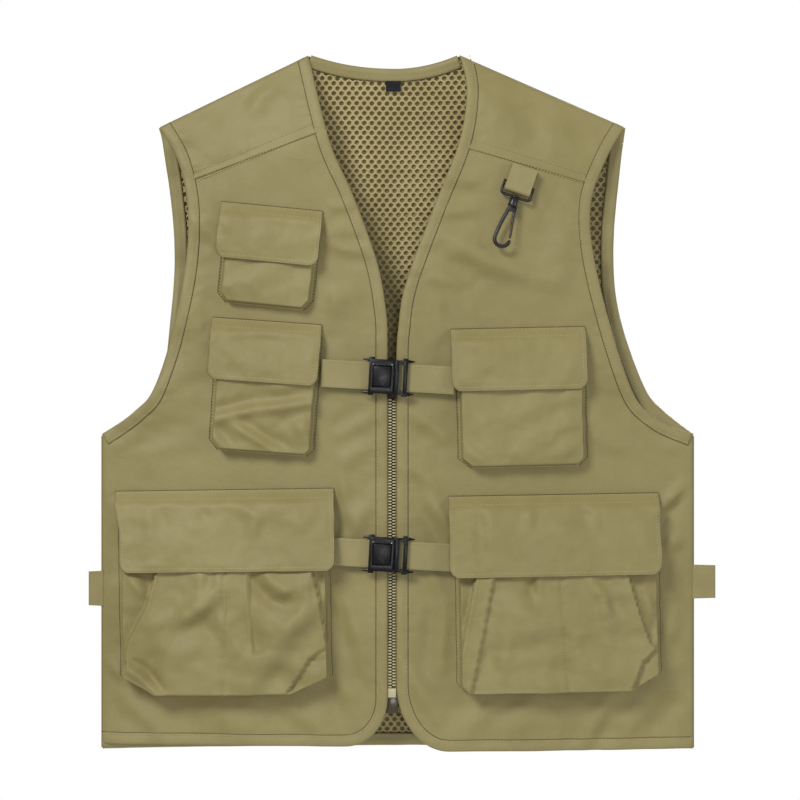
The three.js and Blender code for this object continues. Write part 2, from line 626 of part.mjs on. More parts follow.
// ---- Clip hook on the left chest ----
const hook = {
  x: 123.4, z: -128.8, lean: 18.8, tilt: -9, tabRoom: 0.5, tab: [26, 6.4], tabFoot: -8,
  ring: [32, 13, 2.8], bore: 3.6, pin: 5.5, barrel: [9, 8], wire: 3.4, loop: 7.3, loopX: 1,
  reach: 34, gate: 2, lug: 5, lugX: [-3, 5.4], lugThick: 2.6, gateX: 4.2, gateTip: [6.8, 3.1],
};
const hookFoot = -hook.ring[1] - hook.ring[2] / 2 - clearance - hook.barrel[1]; // barrel's lower end
const gateRoom = 0.5; // lets the gate's square end turn under its lug
const gatePivot = new THREE.Vector3(hook.gateX, 0, hookFoot - hook.lug - gateRoom);
function addHook() {
  const base = new THREE.Group();
  base.position.set(hook.x, -(rise(hook.x, hook.z) + clearance + 0.8 + hook.tab[1] / 2), hook.z);
  base.rotation.order = 'YXZ';
  base.rotation.y = THREE.MathUtils.degToRad(hook.lean);
  vest.add(base);
  const [tabHigh, tabThick] = hook.tab;
  const tabTop = hook.tabFoot + tabHigh;
  const [ringWide, ringHigh, ringWire] = hook.ring;
  const tabWide = ringWide - 2 * (ringWire + hook.tabRoom);
  const slot = ringWire * Math.SQRT1_2 + clearance / 2; // lets the square bar turn
  const tab = solid(box([-tabWide / 2, tabWide / 2], [-tabThick / 2, tabThick / 2],
    [hook.tabFoot, tabTop]))
    .subtract(solid(box([-tabWide, tabWide], [-slot, slot], [-slot, slot])));
  add('hook_tab', fromSolid(tab), webbing, base);
  const swing = new THREE.Group();
  swing.rotation.x = THREE.MathUtils.degToRad(hook.tilt);
  base.add(swing);
  addRing(swing, ringWide, ringHigh, ringWire);
  addHookBody(swing);
}

// Where the hook turns: the ring's bar, the swivel and the gate's pivot, each with its axis.
function hookFrames() {
  vest.updateMatrixWorld(true);
  const swing = vest.getObjectByName('hook_ring').parent;
  const along = (x, y, z) => new THREE.Vector3(x, y, z).transformDirection(swing.matrixWorld).toArray();
  return {
    ring: { at: swing.localToWorld(new THREE.Vector3()).toArray(), axis: along(-1, 0, 0) },
    swivel: { at: swing.localToWorld(new THREE.Vector3(0, 0, hookFoot)).toArray(), axis: along(0, 0, 1) },
    gate: { at: swing.localToWorld(gatePivot.clone()).toArray(), axis: along(0, 1, 0) },
  };
}

function addRing(parent, wide, high, thick) {
  const half = thick / 2;
  const outline = new THREE.Shape()
    .moveTo(-wide / 2, half).lineTo(wide / 2, half)
    .lineTo(wide / 2, -high - half).lineTo(-wide / 2, -high - half).closePath();
  const inner = [[-wide / 2 + thick, -half], [-wide / 2 + thick, -high + half],
    [wide / 2 - thick, -high + half], [wide / 2 - thick, -half]];
  outline.holes.push(new THREE.Path(inner.map(([x, z]) => new THREE.Vector2(x, z))));
  const frame = new THREE.ExtrudeGeometry(outline, { depth: thick, bevelEnabled: false })
    .rotateX(Math.PI / 2).translate(0, thick / 2, 0);
  const pin = new THREE.CylinderGeometry(hook.bore / 2 - clearance, hook.bore / 2 - clearance,
    hook.pin, 16).rotateX(Math.PI / 2).translate(0, 0, -high - hook.pin / 2);
  add('hook_ring', fromSolid(solid(frame).add(solid(pin))), darkMetal, parent);
}

function addHookBody(parent) {
  const [barrelWide, barrelHigh] = hook.barrel;
  const foot = hookFoot;
  const barrelTop = foot + barrelHigh;
  const barrel = new THREE.CylinderGeometry(barrelWide / 2 * 0.8, barrelWide / 2, barrelHigh, 20)
    .rotateX(Math.PI / 2).translate(0, 0, barrelTop - barrelHigh / 2);
  const bore = new THREE.CylinderGeometry(hook.bore / 2, hook.bore / 2, hook.pin * 2, 16)
    .rotateX(Math.PI / 2).translate(0, 0, barrelTop);
  const centre = foot - hook.reach;
  const path = new THREE.CatmullRomCurve3([
    new THREE.Vector3(-1.6, 0, foot + 0.4), new THREE.Vector3(-2.6, 0, foot - 5),
    new THREE.Vector3(-5, 0, foot - 18),
    ...[175, 200, 230, 260, 290, 320, 350, 375].map((degrees) => {
      const angle = THREE.MathUtils.degToRad(degrees);
      return new THREE.Vector3(hook.loopX + hook.loop * Math.cos(angle), 0,
        centre + hook.loop * Math.sin(angle));
    })]);
  const lug = box(hook.lugX, [-hook.lugThick / 2, hook.lugThick / 2], [foot - hook.lug, foot + 0.5]);
  const body = solid(barrel).subtract(solid(bore)).add(solid(wire(path, hook.wire, 32)))
    .add(solid(lug));
  add('hook_body', fromSolid(body), darkMetal, parent);
  const [tipOut, tipUp] = hook.gateTip; // from the loop's centre
  const tip = new THREE.Vector3(hook.loopX + tipOut, 0, centre + tipUp);
  const gate = wire(new THREE.LineCurve3(gatePivot, tip), hook.gate, 1);
  add('hook_gate', fromSolid(solid(gate)), darkMetal, parent);
}

// ---- Side tabs ----
const tabs = {
  right: { z: [-539, -505], reach: 11.3 },
  left: { z: [-532, -499], reach: 21 },
};
function addSideTab(side) {
  const { z, reach } = tabs[side];
  const sign = SIDES[side];
  const from = sideHalfWidth[side] + clearance;
  const x = [sign * from, sign * (from + reach)].sort((a, b) => a - b);
  add(`side_tab_${side}`, box(x, [-1.6, 1.6], z), webbing);
}

['right', 'left'].forEach((side) => addFront(side));
addBack();
addZip();
pockets.forEach((pocket) => {
  addPouch(pocket);
  addFlap(pocket);
});
buckles.forEach(addBuckle);
addHook();
['right', 'left'].forEach((side) => addSideTab(side));
vest.userData.hinges = Object.fromEntries(pockets.map((p) => [p.name, flapHinge(p)]));
vest.userData.hookFrames = hookFrames();

export default vest;
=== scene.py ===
import json
import math

import bmesh
import bpy
import numpy as np
from mathutils import Matrix, Vector, noise


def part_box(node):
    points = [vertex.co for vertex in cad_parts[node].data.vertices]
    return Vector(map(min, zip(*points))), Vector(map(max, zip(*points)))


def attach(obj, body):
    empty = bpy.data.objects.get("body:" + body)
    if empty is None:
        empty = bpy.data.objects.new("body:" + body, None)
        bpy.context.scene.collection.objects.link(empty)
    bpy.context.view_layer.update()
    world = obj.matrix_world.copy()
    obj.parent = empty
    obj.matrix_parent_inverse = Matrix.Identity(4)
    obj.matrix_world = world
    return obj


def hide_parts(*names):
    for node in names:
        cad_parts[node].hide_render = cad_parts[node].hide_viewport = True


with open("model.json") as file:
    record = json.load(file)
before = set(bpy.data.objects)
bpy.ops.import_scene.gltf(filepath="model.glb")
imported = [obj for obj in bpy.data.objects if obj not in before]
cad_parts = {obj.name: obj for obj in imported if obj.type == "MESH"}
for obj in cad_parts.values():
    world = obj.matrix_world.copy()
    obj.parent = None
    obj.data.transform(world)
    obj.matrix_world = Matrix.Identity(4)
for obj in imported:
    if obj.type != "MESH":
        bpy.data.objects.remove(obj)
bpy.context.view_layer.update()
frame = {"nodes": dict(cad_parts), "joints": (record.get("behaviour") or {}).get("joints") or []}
mm = 0.001

# ---- Where the cloth lies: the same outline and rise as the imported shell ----

shell = {
    "side": {-1: 285.0, 1: 296.0},
    "shoulder": 227.5,
    "shoulderDrop": 70.0,
    "neck": {-1: 82.5, 1: 67.0},
    "neckArch": 17.0,
    "neckSag": 13.0,
    "armpit": -373.0,
    "hem": {-1: -673.0, 1: -678.0},
    "backHem": -678.0,
    "chestRise": 24.0,
    "seamRise": 2.3,
    "shoulderRun": 100.0,
    "frontGap": 4.9,
    "closeRun": 5.0,  # the cloth turns in to the side and shoulder seams over this width
}


def easeIn(t):
    return np.sin(np.clip(t, 0, 1) * np.pi / 2)


def smooth(t):
    t = np.clip(t, 0, 1)
    return t * t * (3 - 2 * t)


def perSide(x, table):
    return np.where(np.asarray(x) < 0, table[-1], table[1])


def shoulderLine(x):
    neck = perSide(x, shell["neck"])
    out = np.abs(x)
    slope = shell["shoulderDrop"] / (shell["shoulder"] - neck)
    return np.where(out > neck, slope * (neck - out), shell["neckArch"] * (1 - (out / neck) ** 2))


def backNeckLine(x):
    neck = perSide(x, shell["neck"])
    return np.where(np.abs(x) > neck, shoulderLine(x), -shell["neckSag"] * (1 - (x / neck) ** 2))


def rise(x, z):
    across = 1 - np.minimum(1, (x / perSide(x, shell["side"])) ** 2)
    down = easeIn((shoulderLine(x) - z) / shell["shoulderRun"])
    return shell["seamRise"] + (shell["chestRise"] - shell["seamRise"]) * across * down


# x at a height, on a smooth line through points of x and z.
def throughPoints(points):
    p = np.array([points[0], *points, points[-1]], float)
    at = np.linspace(0, len(points) - 1, 120)
    k = np.minimum(at.astype(int), len(points) - 2)
    t = (at - k)[:, None]
    a, b, c, d = p[k], p[k + 1], p[k + 2], p[k + 3]
    line = 0.5 * (2 * b + (c - a) * t + (2 * a - 5 * b + 4 * c - d) * t**2
                  + (3 * b - a - 3 * c + d) * t**3)
    line = line[np.argsort(line[:, 1])]
    return lambda z: np.interp(z, line[:, 1], line[:, 0])


def armholeLine(side, stops):
    tip = (side * shell["shoulder"], -shell["shoulderDrop"])
    between = [(side * (shell["shoulder"] - inside),
                -shell["shoulderDrop"] + down * (shell["armpit"] + shell["shoulderDrop"]))
               for down, inside in stops]
    return throughPoints([tip, *between, (side * shell["side"][side], shell["armpit"])])


frontArmhole = {
    -1: armholeLine(-1, [(0.12, 20), (0.3, 29.5), (0.55, 22), (0.83, -2), (0.92, -23)]),
    1: armholeLine(1, [(0.1, 18), (0.26, 34.5), (0.48, 28), (0.83, -3), (0.94, -29)]),
}
backArmhole = {
    -1: armholeLine(-1, [(0.08, 5), (0.38, 14.5), (0.72, 8), (0.83, -1.5), (0.92, -22.5)]),
    1: armholeLine(1, [(0.14, 5), (0.4, 11), (0.62, 4), (0.84, -19), (0.92, -38)]),
}
hemCorner = {-1: (40, 46), 1: (50, 66)}
neckDrop = {-1: 270, 1: 290}
neckStops = {
    -1: [(0.316, 56.5), (0.5, 35), (0.676, 16.9), (0.8, 7), (0.93, 1.4)],
    1: [(0.12, 68.5), (0.3, 61), (0.52, 36), (0.78, 8.5), (0.93, 1.5)],
}
vLine = {side: throughPoints([
    (side * shell["neck"][side], 0),
    *[(side * (shell["frontGap"] + out), -neckDrop[side] * down) for down,
      out in neckStops[side]],
    (side * shell["frontGap"], -neckDrop[side])]) for side in (-1, 1)}


def frontEdge(side, z):
    wide, high = hemCorner[side]
    low = np.clip((shell["hem"][side] + high - z) / high, 0, 1)
    straight = side * (shell["frontGap"] + wide * (1 - np.sqrt(1 - low * low)))
    return np.where(z > -neckDrop[side], vLine[side](z), straight)


def outerEdge(side, armhole, z):
    return np.where(z > shell["armpit"], armhole[side](z), side * shell["side"][side])


# ---- Folds that every layer of a front or of the back shares ----

# Each fold runs from x, z to x, z and has a half width and a height.
frontFolds = [
    (-114, -21, -141, -62, 11, 2.2), (-150, -40, -196, -70, 16, 1.2),
    (-57, -151, -40, -149, 5, 1.1), (-66, -174, -36, -174, 6, 1.2),
    (-72, -183, -25, -194, 7, 1.4), (-187, -168, -168, -183, 7, 1.4),
    (-41, -230, -66, -252, 13, 2.0), (-16, -354, -50, -372, 7, 1.4),
    (-14, -382, -60, -400, 10, 1.6), (-61, -392, -38, -452, 9, 1.6),
    (-18, -430, -45, -476, 9, 1.5), (-261, -626, -221, -663, 10, 2.0),
    (-283, -592, -262, -608, 6, 2.2), (-278, -430, -262, -476, 8, 1.7),
    (-181, -631, -132, -663, 15, 1.7), (-110, -626, -76, -652, 9, 1.6),
    (-144, -407, -108, -421, 7, 1.6), (-200, -380, -250, -400, 12, 1.6),
    (-190, -300, -262, -350, 14, 1.8), (-200, -236, -185, -300, 12, 1.3),
    (-250, -372, -282, -392, 8, 1.6), (-48, -520, -22, -600, 9, 1.6),
    (-52, -600, -30, -650, 10, 1.5), (-230, -405, -175, -414, 9, 1.2),
    (176, -156, 163, -221, 15, 2.2), (50, -180, 104, -208, 12, 2.0),
    (104, -208, 152, -225, 12, 1.8), (44, -156, 78, -152, 8, 1.3), (94, -232, 78, -249, 8, 1.5),
    (28, -214, 70, -226, 7, 1.0), (38, -120, 84, -124, 8, 1.1), (93, -37, 118, -78, 19, 1.7),
    (167, -63, 148, -108, 14, 1.5), (190, -250, 168, -262, 8, 1.4),
    (259, -445, 289, -419, 6, 3.0), (187, -668, 209, -634, 8, 2.4),
    (268, -576, 277, -548, 8, 1.8), (234, -650, 262, -612, 13, 2.4), (37, -433, 56, -464, 8, 2.2),
    (52, -537, 46, -598, 8, 2.0), (20, -352, 52, -372, 8, 1.4), (14, -400, 44, -420, 9, 1.5),
    (198, -300, 262, -340, 14, 1.6), (205, -360, 240, -420, 14, 1.7),
    (90, -640, 60, -668, 11, 1.8), (140, -628, 112, -662, 12, 1.6), (62, -412, 150, -424, 9, 1.2),
    (30, -480, 44, -520, 8, 1.5), (16, -600, 42, -640, 9, 1.6), (270, -480, 288, -470, 7, 1.6),
    (-276, -520, -286, -560, 7, 1.4),
]
backFolds = [
    (-120, -60, -60, -180, 26, 2.4), (110, -70, 70, -200, 28, 2.4),
    (-200, -220, -120, -330, 24, 2.6), (210, -230, 140, -340, 24, 2.6),
    (-240, -420, -150, -520, 26, 2.6), (230, -430, 120, -560, 28, 2.8),
    (-40, -330, 30, -470, 30, 2.4), (-120, -560, -80, -660, 18, 2.0),
    (60, -590, 90, -668, 18, 2.0), (0, -60, 10, -250, 22, 1.6), (-260, -560, -250, -650, 12, 1.6),
    (262, -560, 250, -660, 12, 1.8),
]
# Flat under the hook and the buckles: x, z and reach.
calmSpots = [(124, -128, 34), (0, -315, 40), (0, -487, 40)]
# Above each flap's hinge, where the lifted flap comes to rest: x, z and half the width.
calmBands = [(-116.4, -149, 50), (-121.2, -260.3, 54), (-163.8, -424.4, 107),
             (122.3, -267, 66), (157.4, -429, 103)]
creaseSizes = {
    "frontFolds": 1.9, "backFolds": 2.3,  # how strongly the listed folds show
    "broad": 58.0, "broadHeight": 3.4, "fine": 20.0, "fineHeight": 1.15,
    "curl": 1.7,  # where the valley beside a fold lies, in half widths
    "pucker": 0.9, "puckerAt": 15.0, "puckerWidth": 7.5,
    "edgeFade": 22.0,
}


def foldsAt(x, z, strokes):
    total = np.zeros_like(x, dtype=float)
    for x0, z0, x1, z1, width, height in strokes:
        length = math.hypot(x1 - x0, z1 - z0)
        dx, dz = (x1 - x0) / length, (z1 - z0) / length
        along = (x - x0) * dx + (z - z0) * dz
        off = (x - x0) * dz - (z - z0) * dx
        past = np.maximum(np.maximum(-along, along - length), 0) / (width * 1.3)
        hold = np.exp(-past * past) * (0.55 + 0.45 * np.sin(np.clip(along / length, 0,
                                                                    1) * np.pi))
        ridge = (np.exp(-(off / width) ** 2)
                 - 0.55 * np.exp(-(off / width - creaseSizes["curl"]) ** 2))
        total += height * hold * ridge
    return total


def bumpsAt(x, z, size, seed):
    flat = [noise.noise((a / size, b / size, seed)) for a, b in zip(x.ravel(), z.ravel())]
    return np.array(flat).reshape(x.shape)


# Small ripples across the seams of a front, strongest just inside the stitches.
def puckersAt(x, z):
    total = np.zeros_like(x)
    for side in (-1, 1):
        here = np.sign(x) == side
        toZip = (x - frontEdge(side, z)) * side
        toArm = np.where(z > shell["armpit"], (frontArmhole[side](z) - x) * side, 99.0)
        toHem = z - shell["hem"][side]
        for off, along, at in ((toZip, z, x), (toArm, z, x), (toHem, x, z)):
            band = np.exp(-((off - creaseSizes["puckerAt"]) / creaseSizes["puckerWidth"]) ** 2)
            near = here & (band > 0.02)
            if near.any():
                ripple = bumpsAt(along[near] * 3.2, at[near], 16.0, 5.0 + side)
                total[near] += creaseSizes["pucker"] * band[near] * ripple
    return total


# How far the shell's outer face lies from the mid plane, with its folds.
def shellOut(face, x, z):
    x, z = np.asarray(x, float), np.asarray(z, float)
    if face < 0:
        lift = foldsAt(x, z, frontFolds) * creaseSizes["frontFolds"]
    else:
        lift = foldsAt(x, z, backFolds) * creaseSizes["backFolds"]
    lift += creaseSizes["broadHeight"] * bumpsAt(x, z, creaseSizes["broad"], 3.0 * face)
    lift += creaseSizes["fineHeight"] * bumpsAt(x, z * 1.4, creaseSizes["fine"], 11.0 * face)
    if face < 0:
        lift += puckersAt(x, z)
    for cx, cz, reach in calmSpots if face < 0 else []:
        lift *= smooth(np.hypot(x - cx, z - cz) / reach - 0.3)
    for cx, cz, half in calmBands if face < 0 else []:
        within = (smooth((half + 12 - np.abs(x - cx)) / 12)
                  * smooth((z - cz + 16) / 10) * smooth((cz + 52 - z) / 26))
        lift = lift * (1 - 0.85 * within) - 0.6 * within
    side = perSide(x, shell["side"])
    toSide = np.abs(side) - np.abs(x)
    toShoulder = np.where(np.abs(x) > perSide(x, shell["neck"]), shoulderLine(x) - z, 99.0)
    toEdge = np.clip(np.minimum(toSide, toShoulder) / shell["closeRun"], 0, 1)
    turnIn = np.sqrt(np.clip(1 - (1 - toEdge) ** 2, 0, 1))
    fade = smooth(np.minimum(toSide, toShoulder) / creaseSizes["edgeFade"])
    return (rise(x, z) + lift * fade) * (0.06 + 0.94 * turnIn)


# ---- Making pieces ----

bevelWays = {"affect": "EDGES", "profile": 0.5, "material": -1}  # every bevel's settings


def vertsIn(geom):
    return [g for g in geom if isinstance(g, bmesh.types.BMVert)]


# Copies all that is in the mesh, with the k-th copy moved by shift(k).
def repeatAll(bm, count, shift):
    one = bm.verts[:] + bm.edges[:] + bm.faces[:]
    for k in range(1, count):
        made = bmesh.ops.duplicate(bm, geom=one)["geom"]
        bmesh.ops.translate(bm, vec=shift(k), verts=vertsIn(made))


# Rows of x, y, z in a turned frame, as three columns in the vest's own.
def turned(turn, x, y, z):
    spots = np.column_stack((x, y, z, np.ones_like(x))) @ np.array(turn).T
    return spots[:, 0], spots[:, 1], spots[:, 2]


def toPiece(name, bm, look, body="vest", nodes=(), sharp=None):
    bmesh.ops.scale(bm, vec=(mm, mm, mm), verts=bm.verts)
    mesh = bpy.data.meshes.new(name)
    bm.to_mesh(mesh)
    bm.free()
    mesh.shade_smooth()
    if sharp:
        mesh.set_sharp_from_angle(angle=math.radians(sharp))
    piece = bpy.data.objects.new(name, mesh)
    bpy.context.scene.collection.objects.link(piece)
    for finish in look if isinstance(look, (list, tuple)) else [look]:
        mesh.materials.append(finish)
    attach(piece, body)
    if nodes:
        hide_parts(*nodes)
    return piece


# A grid of cloth moved point by point: place takes u across and v up, both from 0 to 1.
def sheetMesh(columns, rows, place, facing):
    bm = bmesh.new()
    bm.loops.layers.uv.new("cut")
    bmesh.ops.create_grid(bm, x_segments=columns, y_segments=rows, size=0.5, calc_uvs=True)
    at = np.array([v.co[:2] for v in bm.verts]) + 0.5
    spots = np.column_stack(place(at[:, 0], at[:, 1]))
    for vert, spot in zip(bm.verts, spots):
        vert.co = spot
    bm.normal_update()
    if sum(f.normal.y * f.calc_area() for f in bm.faces) * facing < 0:
        bmesh.ops.reverse_faces(bm, faces=bm.faces)
        bm.normal_update()
    return bm


# Gives the faces picked by their place in the cut another material; here the painted shade and
# painted highlight strips.
def shadeStrips(bm, picked, index):
    cut = bm.loops.layers.uv.verify()
    for face in bm.faces:
        spots = [loop[cut].uv for loop in face.loops]
        if picked(sum(c.x for c in spots) / len(spots), sum(c.y for c in spots) / len(spots)):
            face.material_index = index


def thicken(piece, thickness, inside=0):
    wall = piece.modifiers.new("wall", "SOLIDIFY")
    wall.thickness = thickness * mm
    wall.offset = -1
    wall.material_offset = inside
    return wall


# The cut's area in square metres: what the faces cover seen square on.
def flatArea(bm):
    return sum(f.calc_area() * abs(f.normal.y) for f in bm.faces) * mm * mm


# ---- Finishes ----

def link(tree, a, b):
    tree.links.new(a, b)


def addNode(tree, kind, **values):
    node = tree.nodes.new(kind)
    for key, value in values.items():
        if hasattr(node, key):
            setattr(node, key, value)
        else:
            node.inputs[key].default_value = value
    return node


def shared(name, inputs, outputs):
    tree = bpy.data.node_groups.new(name, "ShaderNodeTree")
    kinds = {"c": "NodeSocketColor", "f": "NodeSocketFloat", "v": "NodeSocketVector"}
    for label, kind, value in inputs:
        socket = tree.interface.new_socket(name=label, in_out="INPUT", socket_type=kinds[kind])
        socket.default_value = value
    for label, kind in outputs:
        tree.interface.new_socket(name=label, in_out="OUTPUT", socket_type=kinds[kind])
    return tree, tree.nodes.new("NodeGroupInput"), tree.nodes.new("NodeGroupOutput")


def mixColor(tree, factor, a, b, blend="MIX"):
    node = tree.nodes.new("ShaderNodeMix")
    node.data_type = "RGBA"
    node.blend_type = blend
    for socket, value in ((node.inputs[0], factor), (node.inputs[6], a), (node.inputs[7], b)):
        if isinstance(value, bpy.types.NodeSocket):
            tree.links.new(value, socket)
        else:
            socket.default_value = value
    return node.outputs[2]


def combine(tree, how, a, b):
    node = tree.nodes.new("ShaderNodeMath")
    node.operation = how
    for socket, value in zip(node.inputs, (a, b)):
        if isinstance(value, bpy.types.NodeSocket):
            tree.links.new(value, socket)
        else:
            socket.default_value = value
    return node.outputs[0]


def scaled(tree, value, fromLow, fromHigh, toLow, toHigh):
    node = addNode(tree, "ShaderNodeMapRange")
    link(tree, value, node.inputs["Value"])
    for label, number in (("From Min", fromLow), ("From Max", fromHigh),
                          ("To Min", toLow), ("To Max", toHigh)):
        node.inputs[label].default_value = number
    return node.outputs["Result"]


# Plain weave with soft tone changes and small crinkles.
def wovenSurface():
    tree, given, out = shared("wovenSurface", [
        ("Base", "c", (0.3, 0.27, 0.13, 1)), ("Light", "c", (0.4, 0.36, 0.18, 1)),
        ("Shade", "c", (0.2, 0.18, 0.08, 1)), ("Yarns", "f", 300.0), ("Crinkle", "f", 0.5),
    ], [("Color", "c"), ("Roughness", "f"), ("Normal", "v")])
    place = addNode(tree, "ShaderNodeTexCoord").outputs["Object"]
    broad = addNode(tree, "ShaderNodeTexNoise", Scale=8.0, Detail=3.0, Roughness=0.5)
    patchy = addNode(tree, "ShaderNodeTexNoise", Scale=46.0, Detail=5.0, Roughness=0.6,
                     Distortion=0.6)
    crinkle = addNode(tree, "ShaderNodeTexNoise", Scale=95.0, Detail=4.0, Roughness=0.55,
                      Distortion=0.9)
    slub = addNode(tree, "ShaderNodeTexNoise", Scale=1100.0, Detail=1.0)
    across = addNode(tree, "ShaderNodeTexWave", bands_direction="X", Distortion=0.5)
    down = addNode(tree, "ShaderNodeTexWave", bands_direction="Z", Distortion=0.5)
    for node in (broad, patchy, crinkle, slub, across, down):
        link(tree, place, node.inputs["Vector"])
    for node in (across, down):
        link(tree, given.outputs["Yarns"], node.inputs["Scale"])
    weave = combine(tree, "MULTIPLY", across.outputs["Fac"], down.outputs["Fac"])
    tone = mixColor(tree, scaled(tree, broad.outputs["Fac"], 0.34, 0.66, 0, 1),
                    given.outputs["Shade"], given.outputs["Base"])
    tone = mixColor(tree, scaled(tree, patchy.outputs["Fac"], 0.42, 0.72, 0, 0.35), tone,
                    given.outputs["Light"])
    tone = mixColor(tree, scaled(tree, weave, 0, 1, 0.0, 0.16), tone, given.outputs["Light"])
    tone = mixColor(tree, scaled(tree, slub.outputs["Fac"], 0.3, 0.7, 0.12, 0), tone,
                    given.outputs["Shade"])
    rough = combine(tree, "ADD", scaled(tree, patchy.outputs["Fac"], 0.3, 0.7, 0.46, 0.53),
                    scaled(tree, weave, 0, 1, 0.06, 0))
    soft = addNode(tree, "ShaderNodeBump", Distance=0.0016)
    link(tree, crinkle.outputs["Fac"], soft.inputs["Height"])
    link(tree, given.outputs["Crinkle"], soft.inputs["Strength"])
    yarn = addNode(tree, "ShaderNodeBump", Distance=0.00012, Strength=0.35)
    link(tree, weave, yarn.inputs["Height"])
    link(tree, soft.outputs["Normal"], yarn.inputs["Normal"])
    link(tree, tone, out.inputs["Color"])
    link(tree, rough, out.inputs["Roughness"])
    link(tree, yarn.outputs["Normal"], out.inputs["Normal"])
    return tree


# Moulded or plated hardware: faint mottling, fine scuffs and a little orange peel.
def mouldedSurface():
    tree, given, out = shared("mouldedSurface", [
        ("Base", "c", (0.01, 0.01, 0.01, 1)), ("Scuff", "c", (0.05, 0.05, 0.05, 1)),
        ("Smoothness", "f", 0.35), ("Grain", "f", 0.3),
    ], [("Color", "c"), ("Roughness", "f"), ("Normal", "v")])
    place = addNode(tree, "ShaderNodeTexCoord").outputs["Object"]
    mottle = addNode(tree, "ShaderNodeTexNoise", Scale=260.0, Detail=4.0, Roughness=0.6)
    scuff = addNode(tree, "ShaderNodeTexNoise", Scale=620.0, Detail=6.0, Roughness=0.7,
                    Distortion=2.5)
    peel = addNode(tree, "ShaderNodeTexNoise", Scale=1500.0, Detail=2.0)
    for node in (mottle, scuff, peel):
        link(tree, place, node.inputs["Vector"])
    marks = scaled(tree, scuff.outputs["Fac"], 0.56, 0.78, 0, 0.5)
    tone = mixColor(tree, marks, given.outputs["Base"], given.outputs["Scuff"])
    link(tree, tone, out.inputs["Color"])
    rough = combine(tree, "ADD", given.outputs["Smoothness"],
                    scaled(tree, mottle.outputs["Fac"], 0.3, 0.7, -0.06, 0.08))
    rough = combine(tree, "ADD", rough, combine(tree, "MULTIPLY", marks, 0.3))
    link(tree, rough, out.inputs["Roughness"])
    bump = addNode(tree, "ShaderNodeBump", Distance=0.00006)
    link(tree, peel.outputs["Fac"], bump.inputs["Height"])
    link(tree, given.outputs["Grain"], bump.inputs["Strength"])
    link(tree, bump.outputs["Normal"], out.inputs["Normal"])
    return tree


def linear(r, g, b):
    def one(c):
        c = c / 255
        return c / 12.92 if c <= 0.04045 else ((c + 0.055) / 1.055) ** 2.4
    return (one(r), one(g), one(b), 1)


def finishFrom(name, group, values, **shader):
    finish = bpy.data.materials.new(name)
    finish.use_nodes = True
    tree = finish.node_tree
    surface = tree.nodes["Principled BSDF"]
    effect = tree.nodes.new("ShaderNodeGroup")
    effect.node_tree = group
    for label, value in values.items():
        effect.inputs[label].default_value = value
    for label, target in (("Color", "Base Color"), ("Roughness", "Roughness"),
                          ("Normal", "Normal")):
        link(tree, effect.outputs[label], surface.inputs[target])
    for label, value in shader.items():
        surface.inputs[label].default_value = value
    finish.diffuse_color = values.get("Base", (0.5, 0.5, 0.5, 1))
    return finish


woven = wovenSurface()
moulded = mouldedSurface()
clothShader = {"Sheen Weight": 0.06, "Sheen Roughness": 0.4, "Specular IOR Level": 0.38}


def clothFinish(name, base, light, shade, yarns, crinkle):
    return finishFrom(name, woven, {
        "Base": linear(*base), "Light": linear(*light), "Shade": linear(*shade),
        "Yarns": yarns, "Crinkle": crinkle}, **clothShader)


def hardFinish(name, base, scuff, smoothness, grain, **shader):
    return finishFrom(name, moulded, {
        "Base": linear(*base), "Scuff": linear(*scuff),
        "Smoothness": smoothness, "Grain": grain}, **shader)


# Cloths: name, base, light and shade colours, yarns and crinkle.
shellCloth = clothFinish("shellCloth", (154, 143, 95), (164, 153, 104), (145, 134, 86), 330, 0.32)
# painted shade: the shell's inner face is darker than its outer face, for the shade inside the vest
# that shows through the net's holes
shellInsideShade = clothFinish("shellInsideShade", (138, 122, 70), (150, 134, 81), (126, 111, 61), 330, 0.3)
bindingCloth = clothFinish("bindingCloth", (155, 144, 97), (166, 155, 107), (147, 136, 90), 330,
                           0.3)
webCloth = clothFinish("webCloth", (160, 149, 102), (170, 159, 111), (150, 139, 93), 260, 0.15)
netYarn = clothFinish("netYarn", (188, 173, 122), (203, 188, 138), (172, 157, 106), 520, 0.25)
# painted shade: a dark strip along the bindings' edges, the pouches' sides and the flaps' top
# seams, where the shadow in the groove falls
paintedSeamShade = clothFinish("paintedSeamShade", (112, 101, 62), (126, 115, 74), (98, 88, 51), 330, 0.2)
# painted highlight: a lighter strip along the pouch foot and the flap's lower edge and +x side,
# where the rolled edge catches light
paintedEdgeHighlight = clothFinish("paintedEdgeHighlight", (180, 170, 124), (192, 182, 136), (168, 158, 112), 330, 0.2)
thread = clothFinish("thread", (192, 182, 136), (206, 196, 150), (176, 166, 120), 900, 0.1)
labelCloth = clothFinish("labelCloth", (20, 22, 27), (34, 36, 42), (12, 13, 17), 420, 0.2)
touchPile = clothFinish("touchPile", (136, 126, 88), (156, 146, 104), (108, 98, 64), 160, 0.9)
zipCloth = clothFinish("zipCloth", (150, 138, 96), (166, 154, 110), (128, 116, 76), 260, 0.2)

# Hardware: name, base and scuff colours, smoothness and grain.
toothPlastic = hardFinish("toothPlastic", (196, 186, 148), (214, 206, 172), 0.36, 0.2)
buckleBlack = hardFinish("buckleBlack", (11, 12, 13), (26, 28, 30), 0.34, 0.35,
                         **{"Specular IOR Level": 0.35})
hookBlack = hardFinish("hookBlack", (34, 31, 32), (58, 55, 55), 0.36, 0.3)
